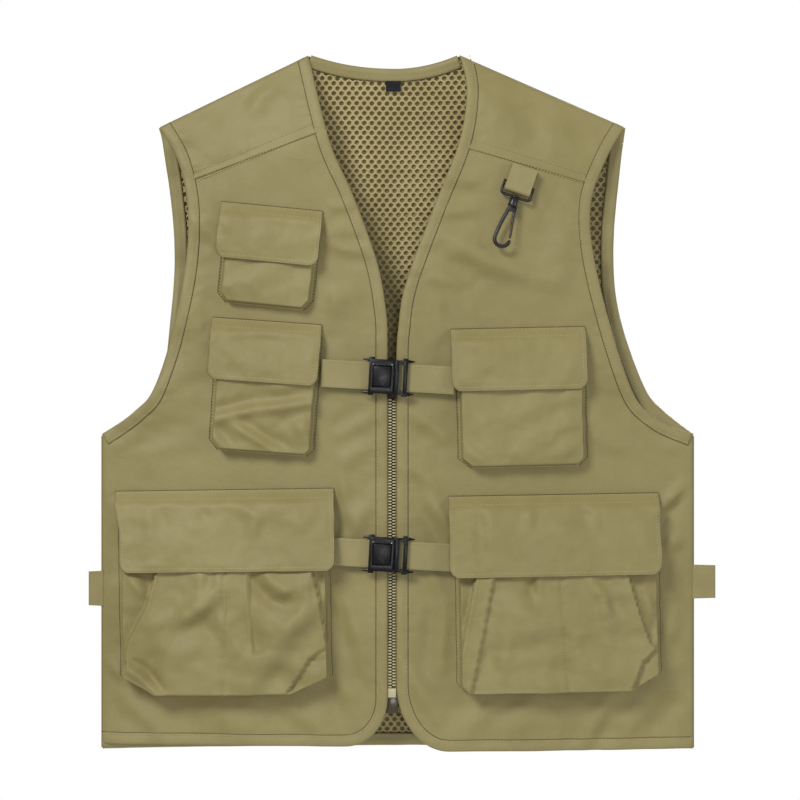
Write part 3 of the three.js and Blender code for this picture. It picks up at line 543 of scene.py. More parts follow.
# painted highlight: light steel for the small domes at the buckle frame's top corners, where glints
# show
studGlintSteel = hardFinish("studGlintSteel", (176, 176, 172), (210, 210, 206), 0.22, 0.2, Metallic=0.6)
sliderMetal = hardFinish("sliderMetal", (54, 48, 44), (112, 104, 96), 0.3, 0.2, Metallic=0.75)
filmPlastic = hardFinish("filmPlastic", (74, 66, 48), (120, 110, 84), 0.2, 0.15)
print("finishes ready")

# ---- Fronts: panel and yoke ----

front = {"columns": 112, "lowRows": 116, "highRows": 96, "yokeRows": 46,
         "yokeInner": {-1: -75.0, 1: -91.0}, "yokeOuter": {-1: -126.0, 1: -128.0},
         "yokeLift": 1.0, "tuck": 3.0}
sideName = {-1: "right", 1: "left"}


# Rows run between the heights zInner(v) at the zip or V and zOuter(v) at the side or armhole.
def frontPlace(side, zInner, zOuter, lift):
    def place(u, v):
        zi, zo = zInner(v), zOuter(v)
        xi = frontEdge(side, zi)
        x = xi + (outerEdge(side, frontArmhole, zo) - xi) * u
        z = zi + (zo - zi) * u
        return x, -(shellOut(-1, x, z) + lift(v)), z
    return place


def cutSize(bm):
    xs, zs = [v.co.x for v in bm.verts], [v.co.z for v in bm.verts]
    return ((max(xs) - min(xs)) * mm, (max(zs) - min(zs)) * mm)


def clothPiece(name, bm, nodes, look=None, wall=1.1,
               inside=1, body="vest", flat=None):
    size = flat or cutSize(bm)
    covered = None if flat else min(flatArea(bm), size[0] * size[1])
    # inner faces take the darker painted-shade cloth
    piece = toPiece(name, bm, look or [shellCloth, shellInsideShade], body, nodes)
    thicken(piece, wall, inside)
    return piece


for side in (-1, 1):
    hem, armpit = shell["hem"][side], shell["armpit"]
    where = sideName[side]
    inner, outer = front["yokeInner"][side], front["yokeOuter"][side]
    lowShare = front["lowRows"] / (front["lowRows"] + front["highRows"])

    def panelRow(top):
        return lambda v: np.where(v < lowShare, hem + (armpit - hem) * v / lowShare,
                                  armpit + (top - armpit) * (v - lowShare) / (1 - lowShare))
    bm = sheetMesh(front["columns"], front["lowRows"] + front["highRows"],
                   frontPlace(side, panelRow(inner + front["tuck"]),
                              panelRow(outer + front["tuck"]),
                              lambda v: 0.0 * v), -1)
    clothPiece(f"frontPanel_{where}", bm, [f"front_panel_{where}"])

    def yokeLift(v):
        return front["yokeLift"] * smooth(1 - v * 12) - 0.35 * np.exp(-((v - 0.12) / 0.012) ** 2)
    bm = sheetMesh(front["columns"], front["yokeRows"], frontPlace(
        side, lambda v: inner - inner * v,
        lambda v: outer + (-shell["shoulderDrop"] - outer) * v, yokeLift), -1)
    clothPiece(f"frontYoke_{where}", bm, [f"front_yoke_{where}"])
print("fronts ready")

# ---- Back panel ----

back = {"columns": 176, "lowRows": 92, "highRows": 112, "seam": -150.0, "seamRows": (3.4, 6.2)}


# How far the back reaches from the middle, on the side that x is on.
def backReach(x, z):
    return np.where(x < 0, np.abs(outerEdge(-1, backArmhole, z)),
                    np.abs(outerEdge(1, backArmhole, z)))


def backPlace(u, v):
    side = np.where(u < 0.5, -1, 1)
    out = np.abs(u - 0.5) * 2
    neck = perSide(side, shell["neck"]) / shell["shoulder"]
    share = np.where(out < 0.5, neck * out / 0.5, neck + (1 - neck) * (out - 0.5) / 0.5)
    lowShare = back["lowRows"] / (back["lowRows"] + back["highRows"])
    low = np.clip(v / lowShare, 0, 1)
    high = 1 - (1 - np.clip((v - lowShare) / (1 - lowShare), 0, 1)) ** 1.5
    edgeZ = np.where(high > 0,
                     shell["armpit"] + (-shell["shoulderDrop"] - shell["armpit"]) * high,
                     shell["backHem"] + (shell["armpit"] - shell["backHem"]) * low)
    x = side * backReach(side, edgeZ) * share
    top = backNeckLine(side * shell["shoulder"] * share)
    z = np.where(high > 0, shell["armpit"] + (top - shell["armpit"]) * high, edgeZ)
    over = z - back["seam"]
    welt = 1.5 * np.exp(-((over - 1) / 3.2) ** 2) - 1.0 * np.exp(-((over + 3.4) / 1.6) ** 2)
    return x, shellOut(1, x, z) + welt, z


bm = sheetMesh(back["columns"], back["lowRows"] + back["highRows"], backPlace, 1)
clothPiece("backPanel", bm, ["back_panel"])
print("back ready")

# ---- Net lining ----

net = {"across": 7.5, "down": 4.75, "corners": 6, "yarn": 0.68, "pinch": 0.7, "wall": 0.8,
       "depth": 3.6, "wave": 0.25, "left": -290.0, "right": 298.0, "foot": -672.0, "split": -330.0}


# Six-sided meshes in staggered rows; each keeps a rim of yarn, and its middle is cut out.
def netMesh(face, inside, low, high):
    bm = bmesh.new()
    across, down = net["across"], net["down"]
    for i in range(int((net["right"] - net["left"]) / across) + 1):
        spot = Matrix.Translation((net["left"] + i * across, 0, 0))
        bmesh.ops.create_circle(bm, cap_ends=True, segments=net["corners"],
                                radius=across / math.sqrt(3),
                                matrix=spot @ Matrix.Rotation(math.radians(90), 4, "X"))
    squash = down / (across * math.sqrt(3) / 2)
    bmesh.ops.scale(bm, vec=(1, 1, squash), verts=bm.verts)
    repeatAll(bm, int((high - low) / down), lambda k: (across / 2 * (k % 2), 0, k * down))
    bmesh.ops.translate(bm, vec=(0, 0, low), verts=bm.verts)
    bmesh.ops.remove_doubles(bm, verts=bm.verts, dist=0.2)
    middles = np.array([f.calc_center_median()[:] for f in bm.faces])
    outside = ~inside(middles[:, 0], middles[:, 2])
    bmesh.ops.delete(bm, geom=[f for f, gone in zip(bm.faces[:], outside) if gone],
                     context="FACES")
    covered = len(bm.faces) * across * down * mm * mm
    rims = set(bmesh.ops.inset_individual(bm, faces=bm.faces[:], thickness=net["yarn"],
                                          use_even_offset=True)["faces"])
    holes = [f for f in bm.faces if f not in rims]
    for hole in holes:
        middle = hole.calc_center_median().x
        for vert in hole.verts:
            vert.co.x = middle + (vert.co.x - middle) * net["pinch"]
    bmesh.ops.delete(bm, geom=holes, context="FACES_ONLY")
    bmesh.ops.delete(bm, geom=[v for v in bm.verts if not v.link_faces], context="VERTS")
    at = np.array([v.co[:] for v in bm.verts])
    wave = net["wave"] * np.sin(at[:, 0] / across * 2 * np.pi)
    y = face * (shellOut(face, at[:, 0], at[:, 2]) - net["depth"] + wave)
    for vert, spot in zip(bm.verts, y):
        vert.co.y = spot
    bm.normal_update()
    if sum(f.normal.y for f in bm.faces) > 0:
        bmesh.ops.reverse_faces(bm, faces=bm.faces)
    return bm, covered


def insideBack(x, z):
    return ((np.abs(x) < backReach(x, z) - 5) & (z < backNeckLine(x) - 4)
            & (z > shell["backHem"] + 8))


for part, low, high in (("upper", net["split"], 0.0),
                        ("lower", net["foot"], net["split"] - 0.01)):
    bm, covered = netMesh(1, insideBack, low, high)
    piece = toPiece(f"liningBack_{part}", bm, netYarn, "vest",
                    ["lining_back"] if part == "upper" else [])
    thicken(piece, net["wall"])
print("back lining ready")

frontLining = {"columns": 30, "rows": 66, "inset": 9.0, "inArm": 16.0, "depth": 3.4,
               "innerTop": -24, "outerTop": -88}
for side in (-1, 1):
    def liningRow(top, v, side=side):
        hem, armpit = shell["hem"][side] + frontLining["inset"], shell["armpit"]
        return np.where(v < 0.5, hem + (armpit - hem) * v / 0.5,
                        armpit + (top - armpit) * (v - 0.5) / 0.5)

    def liningPlace(u, v, side=side, row=liningRow):
        zi, zo = row(frontLining["innerTop"], v), row(frontLining["outerTop"], v)
        xi = frontEdge(side, zi) + side * frontLining["inset"]
        xo = outerEdge(side, frontArmhole, zo) - side * frontLining["inArm"]
        x, z = xi + (xo - xi) * u, zi + (zo - zi) * u
        return x, -(shellOut(-1, x, z) - frontLining["depth"]), z
    bm = sheetMesh(frontLining["columns"], frontLining["rows"], liningPlace, 1)
    clothPiece(f"liningFront_{sideName[side]}", bm, [f"lining_front_{sideName[side]}"], [netYarn],
               wall=0.8, inside=0)
print("front linings ready")

# ---- Bindings: a folded strip over each raw edge ----

# A profile's points are how far inside the edge they lie and how far outside the shell.
overEdge = [(11.1, 0.1), (10.3, 0.35), (9.9, 1.1), (8.9, 0.65), (7.5, 1.3), (4.5, 1.55),
            (1.6, 1.45),
            (-0.3, 0.7)]
binding = {"step": 2.6, "wall": 0.5, "cut": 0.025, "puckers": 0.35,
           "front": [*overEdge, (-0.7, -0.7), (0.4, -2.1), (4.0, -2.5), (9.5, -2.4)],
           "back": [*overEdge, (-0.9, -2.2), (0.3, -4.7), (4.5, -5.3), (8.6, -5.0), (9.8, -5.4),
                    (10.6, -4.6), (11.2, -4.2)],
           "stitch": 8.9, "stitchDepth": 0.95, "insideDepth": -5.3}


def evenly(points, step):
    points = np.array(points, float)
    run = np.concatenate([[0], np.cumsum(np.hypot(*np.diff(points, axis=0).T))])
    at = np.linspace(0, run[-1], max(int(run[-1] / step), 2) + 1)
    return np.column_stack((np.interp(at, run, points[:, 0]), np.interp(at, run, points[:, 1])))


def inwardOf(points, turn):
    ahead = np.gradient(points, axis=0)
    for _ in range(3):  # evens out the small turns between points
        ahead[1:-1] = (ahead[:-2] + ahead[1:-1] * 2 + ahead[2:]) / 4
    ahead /= np.linalg.norm(ahead, axis=1)[:, None]
    return np.column_stack((-ahead[:, 1], ahead[:, 0])) * turn


def edgeBinding(name, face, points, turn, nodes, seed):
    points = evenly(points, binding["step"])
    inward = inwardOf(points, turn)
    profile = np.array(binding["front"] if face < 0 else binding["back"])
    last = len(points) - 1

    def place(u, v):
        i = np.rint(v * last).astype(int)
        j = np.rint(u * (len(profile) - 1)).astype(int)
        inset, depth = profile[j, 0], profile[j, 1]
        x = points[i, 0] + inward[i, 0] * inset
        z = points[i, 1] + inward[i, 1] * inset
        if face < 0:
            overNeck = np.where(np.abs(x) > perSide(x, shell["neck"]), shoulderLine(x), 99.0)
            z = np.minimum(z, overNeck)
        pucker = binding["puckers"] * bumpsAt(x, z, 5.0, seed) * smooth(depth + 0.4)
        return x, face * (shellOut(face, x, z) + depth + pucker), z
    bm = sheetMesh(len(profile) - 1, last, place, face)
    # painted shade along the binding's inner edge, and on the back also along its inside edge
    shadeStrips(bm, lambda u, v: u < 0.9 / (len(profile) - 1), 1)
    if face > 0:
        shadeStrips(bm, lambda u, v: u > 1 - 0.9 / (len(profile) - 1), 1)
    length = len(points) * binding["step"]
    clothPiece(name, bm, nodes, [bindingCloth, paintedSeamShade], wall=binding["wall"],
               inside=0, flat=(binding["cut"], length * mm))


def frontRun(side):
    wide, high = hemCorner[side]
    hem, cornerX = shell["hem"][side], side * (shell["frontGap"] + wide)
    bend = [(cornerX - side * wide * math.sin(a), hem + high * (1 - math.cos(a)))
            for a in np.linspace(0, math.pi / 2, 24)]
    up = [(float(frontEdge(side, z)), z) for z in np.linspace(hem + high + 4, -1.0, 260)]
    return [(side * (shell["side"][side] - 1), hem), *bend, *up]


def armholeRun(line):
    heights = np.linspace(shell["armpit"] + 1, -shell["shoulderDrop"] - 1, 130)
    return [(float(line(z)), z) for z in heights]


def neckRun():
    across = np.linspace(-shell["neck"][-1] + 3, shell["neck"][1] - 3, 80)
    return [(x, float(backNeckLine(x))) for x in across]


def hemRun():
    across = np.linspace(-shell["side"][-1] + 1.5, shell["side"][1] - 1.5, 200)
    return [(x, shell["backHem"] + 0.2) for x in across]


seams = []  # each row of stitches: front or back, points of x and z, depth over the shell, facing
edgeBinding("neckBinding", 1, neckRun(), -1, ["neck_binding"], 12)
edgeBinding("hemBinding_back", 1, hemRun(), 1, [], 14)
for depth, way in ((binding["stitchDepth"], 1), (binding["insideDepth"], -1)):
    seams.append((1, np.array(hemRun()) + (0, binding["stitch"]), depth, way))
for side in (-1, 1):
    where = sideName[side]
    edgeBinding(f"frontBinding_{where}", -1, frontRun(side), -side, [f"front_binding_{where}"],
                side)
    edgeBinding(f"armholeBinding_front_{where}", -1, armholeRun(frontArmhole[side]), side,
                [f"armhole_binding_front_{where}"], side + 4)
    edgeBinding(f"armholeBinding_back_{where}", 1, armholeRun(backArmhole[side]), side,
                [f"armhole_binding_back_{where}"], side + 7)
    for face, run, turn in ((-1, frontRun(side), -side),
                            (-1, armholeRun(frontArmhole[side]), side),
                            (1, armholeRun(backArmhole[side]), side), (1, neckRun(), -1)):
        run = evenly(run, 2.0)
        line = run + inwardOf(run, turn) * binding["stitch"]
        if face < 0 or turn == side:
            seams.append((face, line, binding["stitchDepth"], face))
        if face > 0:
            seams.append((face, line, binding["insideDepth"], -1))
    inner, outer = front["yokeInner"][side], front["yokeOuter"][side]
    for lift, depth in ((1.6, 1.3), (10.0, 0.3)):
        atEdge = float(frontEdge(side, inner + lift))
        end = (float(frontArmhole[side](outer + lift)) - side * 11, outer + lift)
        slope = (outer - inner) / (end[0] - atEdge)
        start = (atEdge + side * 11, inner + lift + slope * side * 11)
        seams.append((-1, np.array([start, end]), depth, -1))
print("bindings ready")

# ---- Pockets: a bellows pouch and a flap each ----

# x and top place the flap's top edge and slope tilts it. flap and pouch are width and height;
# mouth and belly are the pouch's depths. cuts are the two lower corners, towards -x and +x. Folds
# run in the pocket's own s across and v down. A pleat is a line of s and v with the side that
# steps down, how far, and the width over which it fades.
pocketList = [
    {"name": "small_right", "x": -116.4, "top": -149, "slope": -5.8, "flap": (100, 55),
     "pouch": (95, 98), "shift": 2.5, "mouth": 8, "belly": 11, "cuts": ((9, 9), (9, 10)),
     "seam": None,
     "folds": [(-26, 84, -6, 70, 8, 1.3), (-44, 88, -30, 76, 6, 1.2), (20, 90, 40, 74, 10, 1.0)],
     "pleats": [], "flapFolds": [(-30, 20, 30, 16, 9, -0.5), (10, 40, 34, 30, 8, 0.4)]},
    {"name": "medium_right", "x": -121.2, "top": -260.3, "slope": -4.1, "flap": (107, 60.5),
     "pouch": (104, 129), "shift": 3, "mouth": 8, "belly": 14, "cuts": ((9, 10), (7, 7)),
     "seam": None,
     "folds": [(-54, 102, -16, 90, 6, 3.4), (-16, 90, 54, 76, 6, 3.0),
               (-28, 104, 16, 126, 5, 3.0),
               (-50, 112, -34, 126, 5, 2.2), (30, 108, 50, 96, 9, 2.0),
               (44, 84, 50, 104, 5, -2.0),
               (-20, 74, 30, 68, 9, -1.0)],
     "pleats": [], "flapFolds": [(-30, 22, 34, 18, 8, -0.6), (-20, 44, 30, 38, 12, 0.6)]},
    {"name": "large_right", "x": -163.8, "top": -424.4, "slope": 1, "flap": (214.5, 79),
     "lean": 5.5,
     "pouch": (208, 200), "shift": -1, "mouth": 9, "belly": 24, "cuts": ((36, 20), (43, 18)),
     "seam": [(1.8, 70), (-3, 197)],
     "folds": [(29, 88, 44, 104, 8, -3.0), (44, 104, 62, 112, 8, -3.0),
               (62, 112, 80, 100, 8, -2.4),
               (91, 106, 57, 139, 11, 4.0), (57, 139, 24, 189, 12, 4.0),
               (-6, 96, -30, 118, 9, 3.0),
               (-30, 118, -52, 134, 9, 2.6), (-62, 140, -20, 128, 9, -2.2),
               (-20, 128, -4, 146, 9, -2.0),
               (-21, 76, -24, 98, 6, 2.4), (-50, 100, -56, 150, 12, -2.4),
               (84, 84, 80, 100, 6, 2.0),
               (-90, 84, -80, 98, 6, 3.0), (-96, 170, -84, 178, 5, 3.0),
               (-84, 178, -66, 196, 5, 3.6),
               (-70, 150, -74, 196, 9, -2.6), (10, 150, 28, 168, 9, 1.8),
               (40, 176, 74, 186, 9, -1.6)],
     "pleats": [([(-65, 76), (-75, 112), (-92, 142), (-97, 158), (-95, 172)], -1, 7.0, 60),
                ([(86, 76), (93, 106), (98, 142), (99.5, 152)], 1, 7.5, 60),
                ([(24.5, 76), (26, 120), (29, 158)], 1, 3.2, 22),
                ([(81, 166), (70, 182), (61, 197)], 1, 4.5, 18),
                ([(99, 153), (90, 158), (81, 166)], 1, 3.0, 12)],
     "flapFolds": [(12, 14, 34, 26, 7, 1.2), (34, 26, 22, 50, 7, 1.2), (-74, 20, -68, 40, 7, 1.0),
                   (-24, 16, -14, 34, 8, -1.0), (-90, 30, -60, 60, 16, 0.8),
                   (60, 24, 90, 40, 12, 0.8)]},
    {"name": "medium_left", "x": 122.3, "top": -267, "slope": 1.3, "flap": (131, 61),
     "pouch": (127, 136), "shift": 2, "mouth": 8, "belly": 13, "cuts": ((13, 10), (8, 8)),
     "seam": None,
     "folds": [(-40, 96, 10, 82, 10, 1.6), (6, 112, 52, 96, 10, 1.8),
               (-56, 114, -38, 130, 6, 1.8),
               (34, 122, 56, 112, 7, 1.6), (-20, 120, 12, 128, 9, 1.2)],
     "pleats": [], "flapFolds": [(-40, 20, 0, 26, 8, 0.7), (20, 18, 50, 30, 9, -0.7),
                                 (-50, 44, -20, 34, 9, 0.6)]},
    {"name": "large_left", "x": 157.4, "top": -429, "slope": 0.8, "flap": (205.5, 78.5),
     "pouch": (201, 193), "shift": 3, "mouth": 9, "belly": 24, "cuts": ((10, 12), (34, 18)),
     "seam": [(0.7, 70), (8, 193)],
     "folds": [(-29, 76, -27, 98, 5, -2.6), (-44, 96, -22, 136, 12, 2.4),
               (28, 80, 41, 100, 7, 2.8),
               (41, 100, 47, 122, 7, 2.4), (-50, 150, 0, 142, 9, -1.8),
               (12, 96, 20, 150, 12, 1.6),
               (-62, 120, -70, 170, 8, -2.2), (84, 96, 90, 120, 5, 2.4),
               (62, 120, 74, 150, 10, -2.0),
               (-40, 176, 0, 186, 9, 1.4), (28, 168, 60, 178, 10, 1.6),
               (96, 130, 92, 160, 5, 2.2)],
     "pleats": [([(-81, 78), (-92, 130), (-98, 165), (-97, 182)], -1, 8.0, 60),
                ([(-63, 78), (-68.5, 103), (-79, 156), (-87.6, 192)], 1, 3.6, 20),
                ([(67.5, 78), (78, 117), (87.4, 144), (93, 151)], 1, 7.5, 60),
                ([(93, 151), (80, 162), (69.6, 190)], 1, 5.0, 16)],
     "flapFolds": [(-74, 14, -72, 60, 6, -1.2), (-24, 12, -26, 30, 5, 1.2),
                   (26, 12, 30, 30, 6, -1.0),
                   (-60, 26, -50, 60, 10, 0.9), (70, 14, 84, 34, 8, 1.0),
                   (-10, 40, 40, 46, 14, 0.8)]},
]
# The flange lies on the shell, the wall rises beside it, and shares are parts of the grid.
pouchMake = {"step": 1.9, "wall": 1.0, "mouthDrop": 12.0, "flange": 3.4, "wallRun": 2.2,
             "footFlange": 0.9, "footWall": 1.8, "flangeShare": 0.03, "wallShare": 0.11,
             "stitchIn": 1.4, "folds": 1.6, "bumps": (2.8, 0.8), "pleats": 1.25, "seamBeside": 2.2}
flapMake = {"step": 2.0, "wall": 1.7, "corner": 10.0, "stand": 2.5, "carry": 18.0,
            "stitchIn": 3.6,
            "secondRow": 9.0, "folds": 2.0, "bumps": (1.7, 0.5), "tape": 16.0, "tapeUp": 26.0}


def onPocket(p, s, v, depth):
    a = math.radians(p["slope"])
    x = p["x"] + s * math.cos(a) + v * math.sin(a)
    z = p["top"] + s * math.sin(a) - v * math.cos(a)
    return x, -(shellOut(-1, x, z) + depth), z


def pouchDepth(p, v):
    fall = (v - pouchMake["mouthDrop"]) / (p["pouch"][1] * 0.6)
    return p["mouth"] + (p["belly"] - p["mouth"]) * easeIn(fall)


def pleatDrop(pleat, s, v):
    line, way, drop, fade = pleat
    line = np.array(line, float)
    at = np.interp(v, line[:, 1], line[:, 0])
    off = (s - at) * way
    ends = smooth((v - line[0, 1] + 6) / 6) * smooth((line[-1, 1] - v) / 8 + 0.3)
    step = smooth(off / 1.1 + 0.5) * np.exp(-np.maximum(off, 0) / fade)
    lip = 1.3 * np.exp(-((off + 1.6) / 1.9) ** 2)
    return (drop * pouchMake["pleats"] * step - lip) * ends


def pouchShape(p):
    width, foot = p["pouch"]
    mouth = pouchMake["mouthDrop"]
    knots = ([0, pouchMake["flangeShare"], pouchMake["wallShare"], 0.5],
             [0, pouchMake["flange"], pouchMake["flange"] + pouchMake["wallRun"]])
    footRun = [0, pouchMake["footFlange"], pouchMake["footFlange"] + pouchMake["footWall"]]

    def place(u, v):
        v = 1 - v
        nearSide = np.minimum(u, 1 - u)
        nearFoot = np.where(v > 0.5, 1 - v, 0.5)
        insetS = np.interp(nearSide, knots[0], [*knots[1], width / 2])
        insetV = np.interp(nearFoot, knots[0], [*footRun, (foot - mouth) / 2])
        down = np.where(v > 0.5, foot - insetV, mouth + (foot - mouth) * v)
        sign = np.where(u < 0.5, -1.0, 1.0)
        upFromFoot = foot - down
        cut = np.zeros_like(u)
        for way, (cutWide, cutHigh) in zip((-1, 1), p["cuts"]):
            cut += np.where(sign == way, cutWide * np.clip(1 - upFromFoot / cutHigh, 0, 1), 0)
        half = width / 2 - cut + 0.5 * bumpsAt(down, sign * 40, 13.0, 2.5)
        s = sign * half * (1 - insetS / (width / 2)) + p["shift"]
        liftS = easeIn((nearSide - knots[0][1]) / (knots[0][2] - knots[0][1]))
        liftV = easeIn((nearFoot - knots[0][1]) / (knots[0][2] - knots[0][1]))
        full = np.clip(1 - ((1 - liftS) ** 3 + (1 - liftV) ** 3) ** (1 / 3), 0, 1)
        depth = 0.6 + (pouchDepth(p, down) - 0.6) * full
        local = s - p["shift"]
        shown = smooth((down - p["flap"][1] + 6) / 10) * smooth((full - 0.35) / 0.5)
        depth += foldsAt(local, down, p["folds"]) * shown * pouchMake["folds"]
        depth += pouchMake["bumps"][0] * bumpsAt(local, down, 26.0, p["x"] / 10) * shown
        depth += pouchMake["bumps"][1] * bumpsAt(local, down, 10.0, p["x"] / 10 + 3) * shown
        for pleat in p["pleats"]:
            depth -= pleatDrop(pleat, local, down) * smooth((full - 0.3) / 0.5)
        if p["seam"]:
            (s0, v0), (s1, v1) = p["seam"]
            off = local - (s0 + (s1 - s0) * (down - v0) / (v1 - v0))
            depth -= 1.3 * np.exp(-(off / 2.0) ** 2) * smooth((full - 0.3) / 0.5)
            ripple = 0.5 * bumpsAt(off * 0.4, down, 5.0, 7.0) * np.exp(-(off / 9) ** 2)
            depth += ripple * shown
        return onPocket(p, s, down, np.maximum(depth, 0.5))
    return place


def flapDepth(p, v):
    stood = pouchDepth(p, np.maximum(v, flapMake["carry"])) + flapMake["stand"]
    return 0.6 + (stood - 0.6) * easeIn(v / flapMake["carry"]) ** 1.5


def flapShape(p, lift=0.0):
    width, high = p["flap"]

    def place(u, v):
        down = high * (1 - v)
        corner = np.clip((down - high + flapMake["corner"]) / flapMake["corner"], 0, 1)
        half = width / 2 - flapMake["corner"] * (1 - np.sqrt(1 - corner**2 * 0.96))
        half = half - np.where(u < 0.5, p.get("lean", 0), 0) * smooth(down / 45)
        half = half + 0.7 * bumpsAt(down, np.where(u < 0.5, -30.0, 30.0), 16.0, p["x"])
        s = (u - 0.5) * 2 * half
        toEdge = np.minimum(half - np.abs(s), high - down)
        depth = flapDepth(p, down) + flapMake["wall"]
        inner = smooth(toEdge / 8)
        depth += foldsAt(s, down, p["flapFolds"]) * inner * flapMake["folds"] * smooth(down / 20)
        broad, fine = flapMake["bumps"]
        depth += broad * bumpsAt(s, down, 24.0, p["x"] / 7) * inner * smooth(down / 12)
        depth += fine * bumpsAt(s, down, 9.0, p["x"] / 5) * inner * smooth(down / 16)
        depth -= 0.55 * np.exp(-((toEdge - flapMake["stitchIn"]) / 1.3) ** 2) * smooth(down / 6)
        depth -= 0.4 * np.exp(-((down - flapMake["secondRow"]) / 1.4) ** 2)
        depth += 0.45 * bumpsAt(s, down, 4.5, p["x"] / 3) * np.exp(-((toEdge - 6) / 5) ** 2)
        depth -= 0.9 * np.clip(1 - toEdge / 1.6, 0, 1) ** 2 * smooth(down / 3)
        return onPocket(p, s, down, depth + lift)
    return place


# Moves a grid's own share so that its first and last faces are narrow ones.
def narrowEnds(t, count, first, last):
    return np.interp(t, [0, 1 / count, 1 - 1 / count, 1], [0, first, 1 - last, 1])


def tapeShape(p, lift):
    width, high = p["flap"]

    def place(u, v):
        down = high - flapMake["tapeUp"] + flapMake["tape"] * (1 - v)
        s = (u - 0.5) * width * 0.5
        return onPocket(p, s, down, pouchDepth(p, down) + lift)
    return place


pocketSeams = []  # rows of stitches on pockets: body, placed points, facing
for p in pocketList:
    name, (width, foot), (flapWide, flapHigh) = p["name"], p["pouch"], p["flap"]
    columns = int(width * 1.16 / pouchMake["step"])
    rows = int((foot + 6) * 1.1 / pouchMake["step"])
    place = pouchShape(p)
    bm = sheetMesh(columns, rows, place, -1)
    # painted shade along the pouch's two side edges
    shadeStrips(bm, lambda u, v: min(u, 1 - u) < 1.1 / columns, 2)
    # painted highlight along the pouch's foot
    shadeStrips(bm, lambda u, v: v < 2.1 / rows and 1.1 / columns < u < 1 - 1.1 / columns, 3)
    clothPiece(f"pouch_{name}", bm, [f"pouch_{name}"],
               [shellCloth, shellInsideShade, paintedSeamShade, paintedEdgeHighlight],
               inside=0, wall=pouchMake["wall"],
               flat=((width + 1.6 * p["belly"]) * mm, (foot + p["belly"]) * mm))
    columns, rows = int(flapWide / flapMake["step"]), int(flapHigh / flapMake["step"])
    onFlap = flapShape(p)
    bm = sheetMesh(columns, rows, lambda u, v: onFlap(
        narrowEnds(u, columns, 0.9 / flapWide, 0.9 / flapWide),
        narrowEnds(v, rows, 0.9 / flapHigh, 1.0 / flapHigh)), -1)
    # painted shade along the flap's top seam
    shadeStrips(bm, lambda u, v: v > 1 - 1.05 / rows, 1)
    # painted highlight along the flap's lower edge and its +x side
    shadeStrips(bm, lambda u, v: v < 1.05 / rows
                or (v < 1 - 3 / rows and u > 1 - 1.05 / columns), 2)
    clothPiece(f"flap_{name}", bm, [f"flap_{name}"], [shellCloth, paintedSeamShade, paintedEdgeHighlight],
               wall=flapMake["wall"], inside=0, body=f"flap_{name}",
               flat=(flapWide * mm, (flapHigh + 4) * mm))
    for kind, lift, body in (("loop", 1.0, "vest"), ("hook", 1.9, f"flap_{name}")):
        bm = sheetMesh(max(int(flapWide / 6), 8), 6, tapeShape(p, lift), -1)
        clothPiece(f"{kind}Tape_{name}", bm, [f"{kind}_tape_{name}"], [touchPile],
                   wall=0.7, inside=0, body=body,
                   flat=(flapWide * 0.5 * mm, flapMake["tape"] * mm))
    flapTop = flapShape(p, 0.12)
    inS, inV = flapMake["stitchIn"] / flapWide, flapMake["stitchIn"] / flapHigh
    corner = [(inS + 0.03 * (1 - math.cos(a)), inV + 0.05 * (1 - math.sin(a)))
              for a in (0.3, 0.7, 1.1, 1.5)]
    down = [(inS, 1 - 0.02), (inS, inV + 0.08), *corner, (0.12, inV)]
    around = down + [(1 - u, v) for u, v in reversed(down)]
    low, high = 1 - flapMake["secondRow"] / flapHigh, 1 - 1.4 / flapHigh
    for row in (around, [(inS, low), (1 - inS, low)], [(0.01, high), (0.99, high)]):
        row = evenly(np.array(row) * (flapWide, flapHigh), 1.0) / (flapWide, flapHigh)
        pocketSeams.append((f"flap_{name}", np.column_stack(flapTop(row[:, 0], row[:, 1]))))
    edge = pouchMake["stitchIn"] / pouchMake["flange"] * pouchMake["flangeShare"]
    for u in (edge, 1 - edge):
        heights = np.linspace(0.97, 0.1, 160)
        spots = np.column_stack(place(np.full_like(heights, u), heights))
        spots[:, 1] -= 0.15
        pocketSeams.append(("vest", spots))
    if p["seam"]:
        (s0, v0), (s1, v1) = p["seam"]
        down = np.linspace(v0, v1 - 4, 130)
        s = s0 + (s1 - s0) * (down - v0) / (v1 - v0) + pouchMake["seamBeside"]
        panel = width - 2 * (pouchMake["flange"] + pouchMake["wallRun"])
        u = 0.5 + s / panel * (0.5 - pouchMake["wallShare"])
        spots = np.column_stack(place(
            u, 1 - (down - pouchMake["mouthDrop"]) / (foot - pouchMake["mouthDrop"])))
        spots[:, 1] -= 0.2
        pocketSeams.append(("vest", spots))
print("pockets ready")

# ---- Webbing: straps, side tabs and the hook's tab ----

webbing = {"width": 27.0, "thick": 1.5, "ribs": 18, "rib": 0.025, "stitchIn": 2.2,
           "out": 7.2, "slack": 0.9}
buckleSet = {"upper": {"z": -315.4, "lean": 3.3}, "lower": {"z": -487.0, "lean": 3.0}}
chestY = -shell["chestRise"]


def buckleFrame(name):
    b = buckleSet[name]
    return (Matrix.Translation((0, chestY, b["z"]))
            @ Matrix.Rotation(math.radians(b["lean"]), 4, "Y"))


def placedStrap(name, start, end, place, nodes):
    def shape(u, v):
        along = start + (end - start) * u
        across = (v - 0.5) * webbing["width"]
        edge = np.clip((webbing["width"] / 2 - np.abs(across)) / 1.5, 0, 1)
        rib = webbing["rib"] * np.sin(v * webbing["ribs"] * 2 * np.pi)
        return place(along, across, rib * edge + 0.35 * np.sqrt(edge))
    bm = sheetMesh(max(int(abs(end - start) / 1.6), 10), 108, shape, -1)
    thicken(toPiece(name, bm, webCloth, "vest", nodes), webbing["thick"])


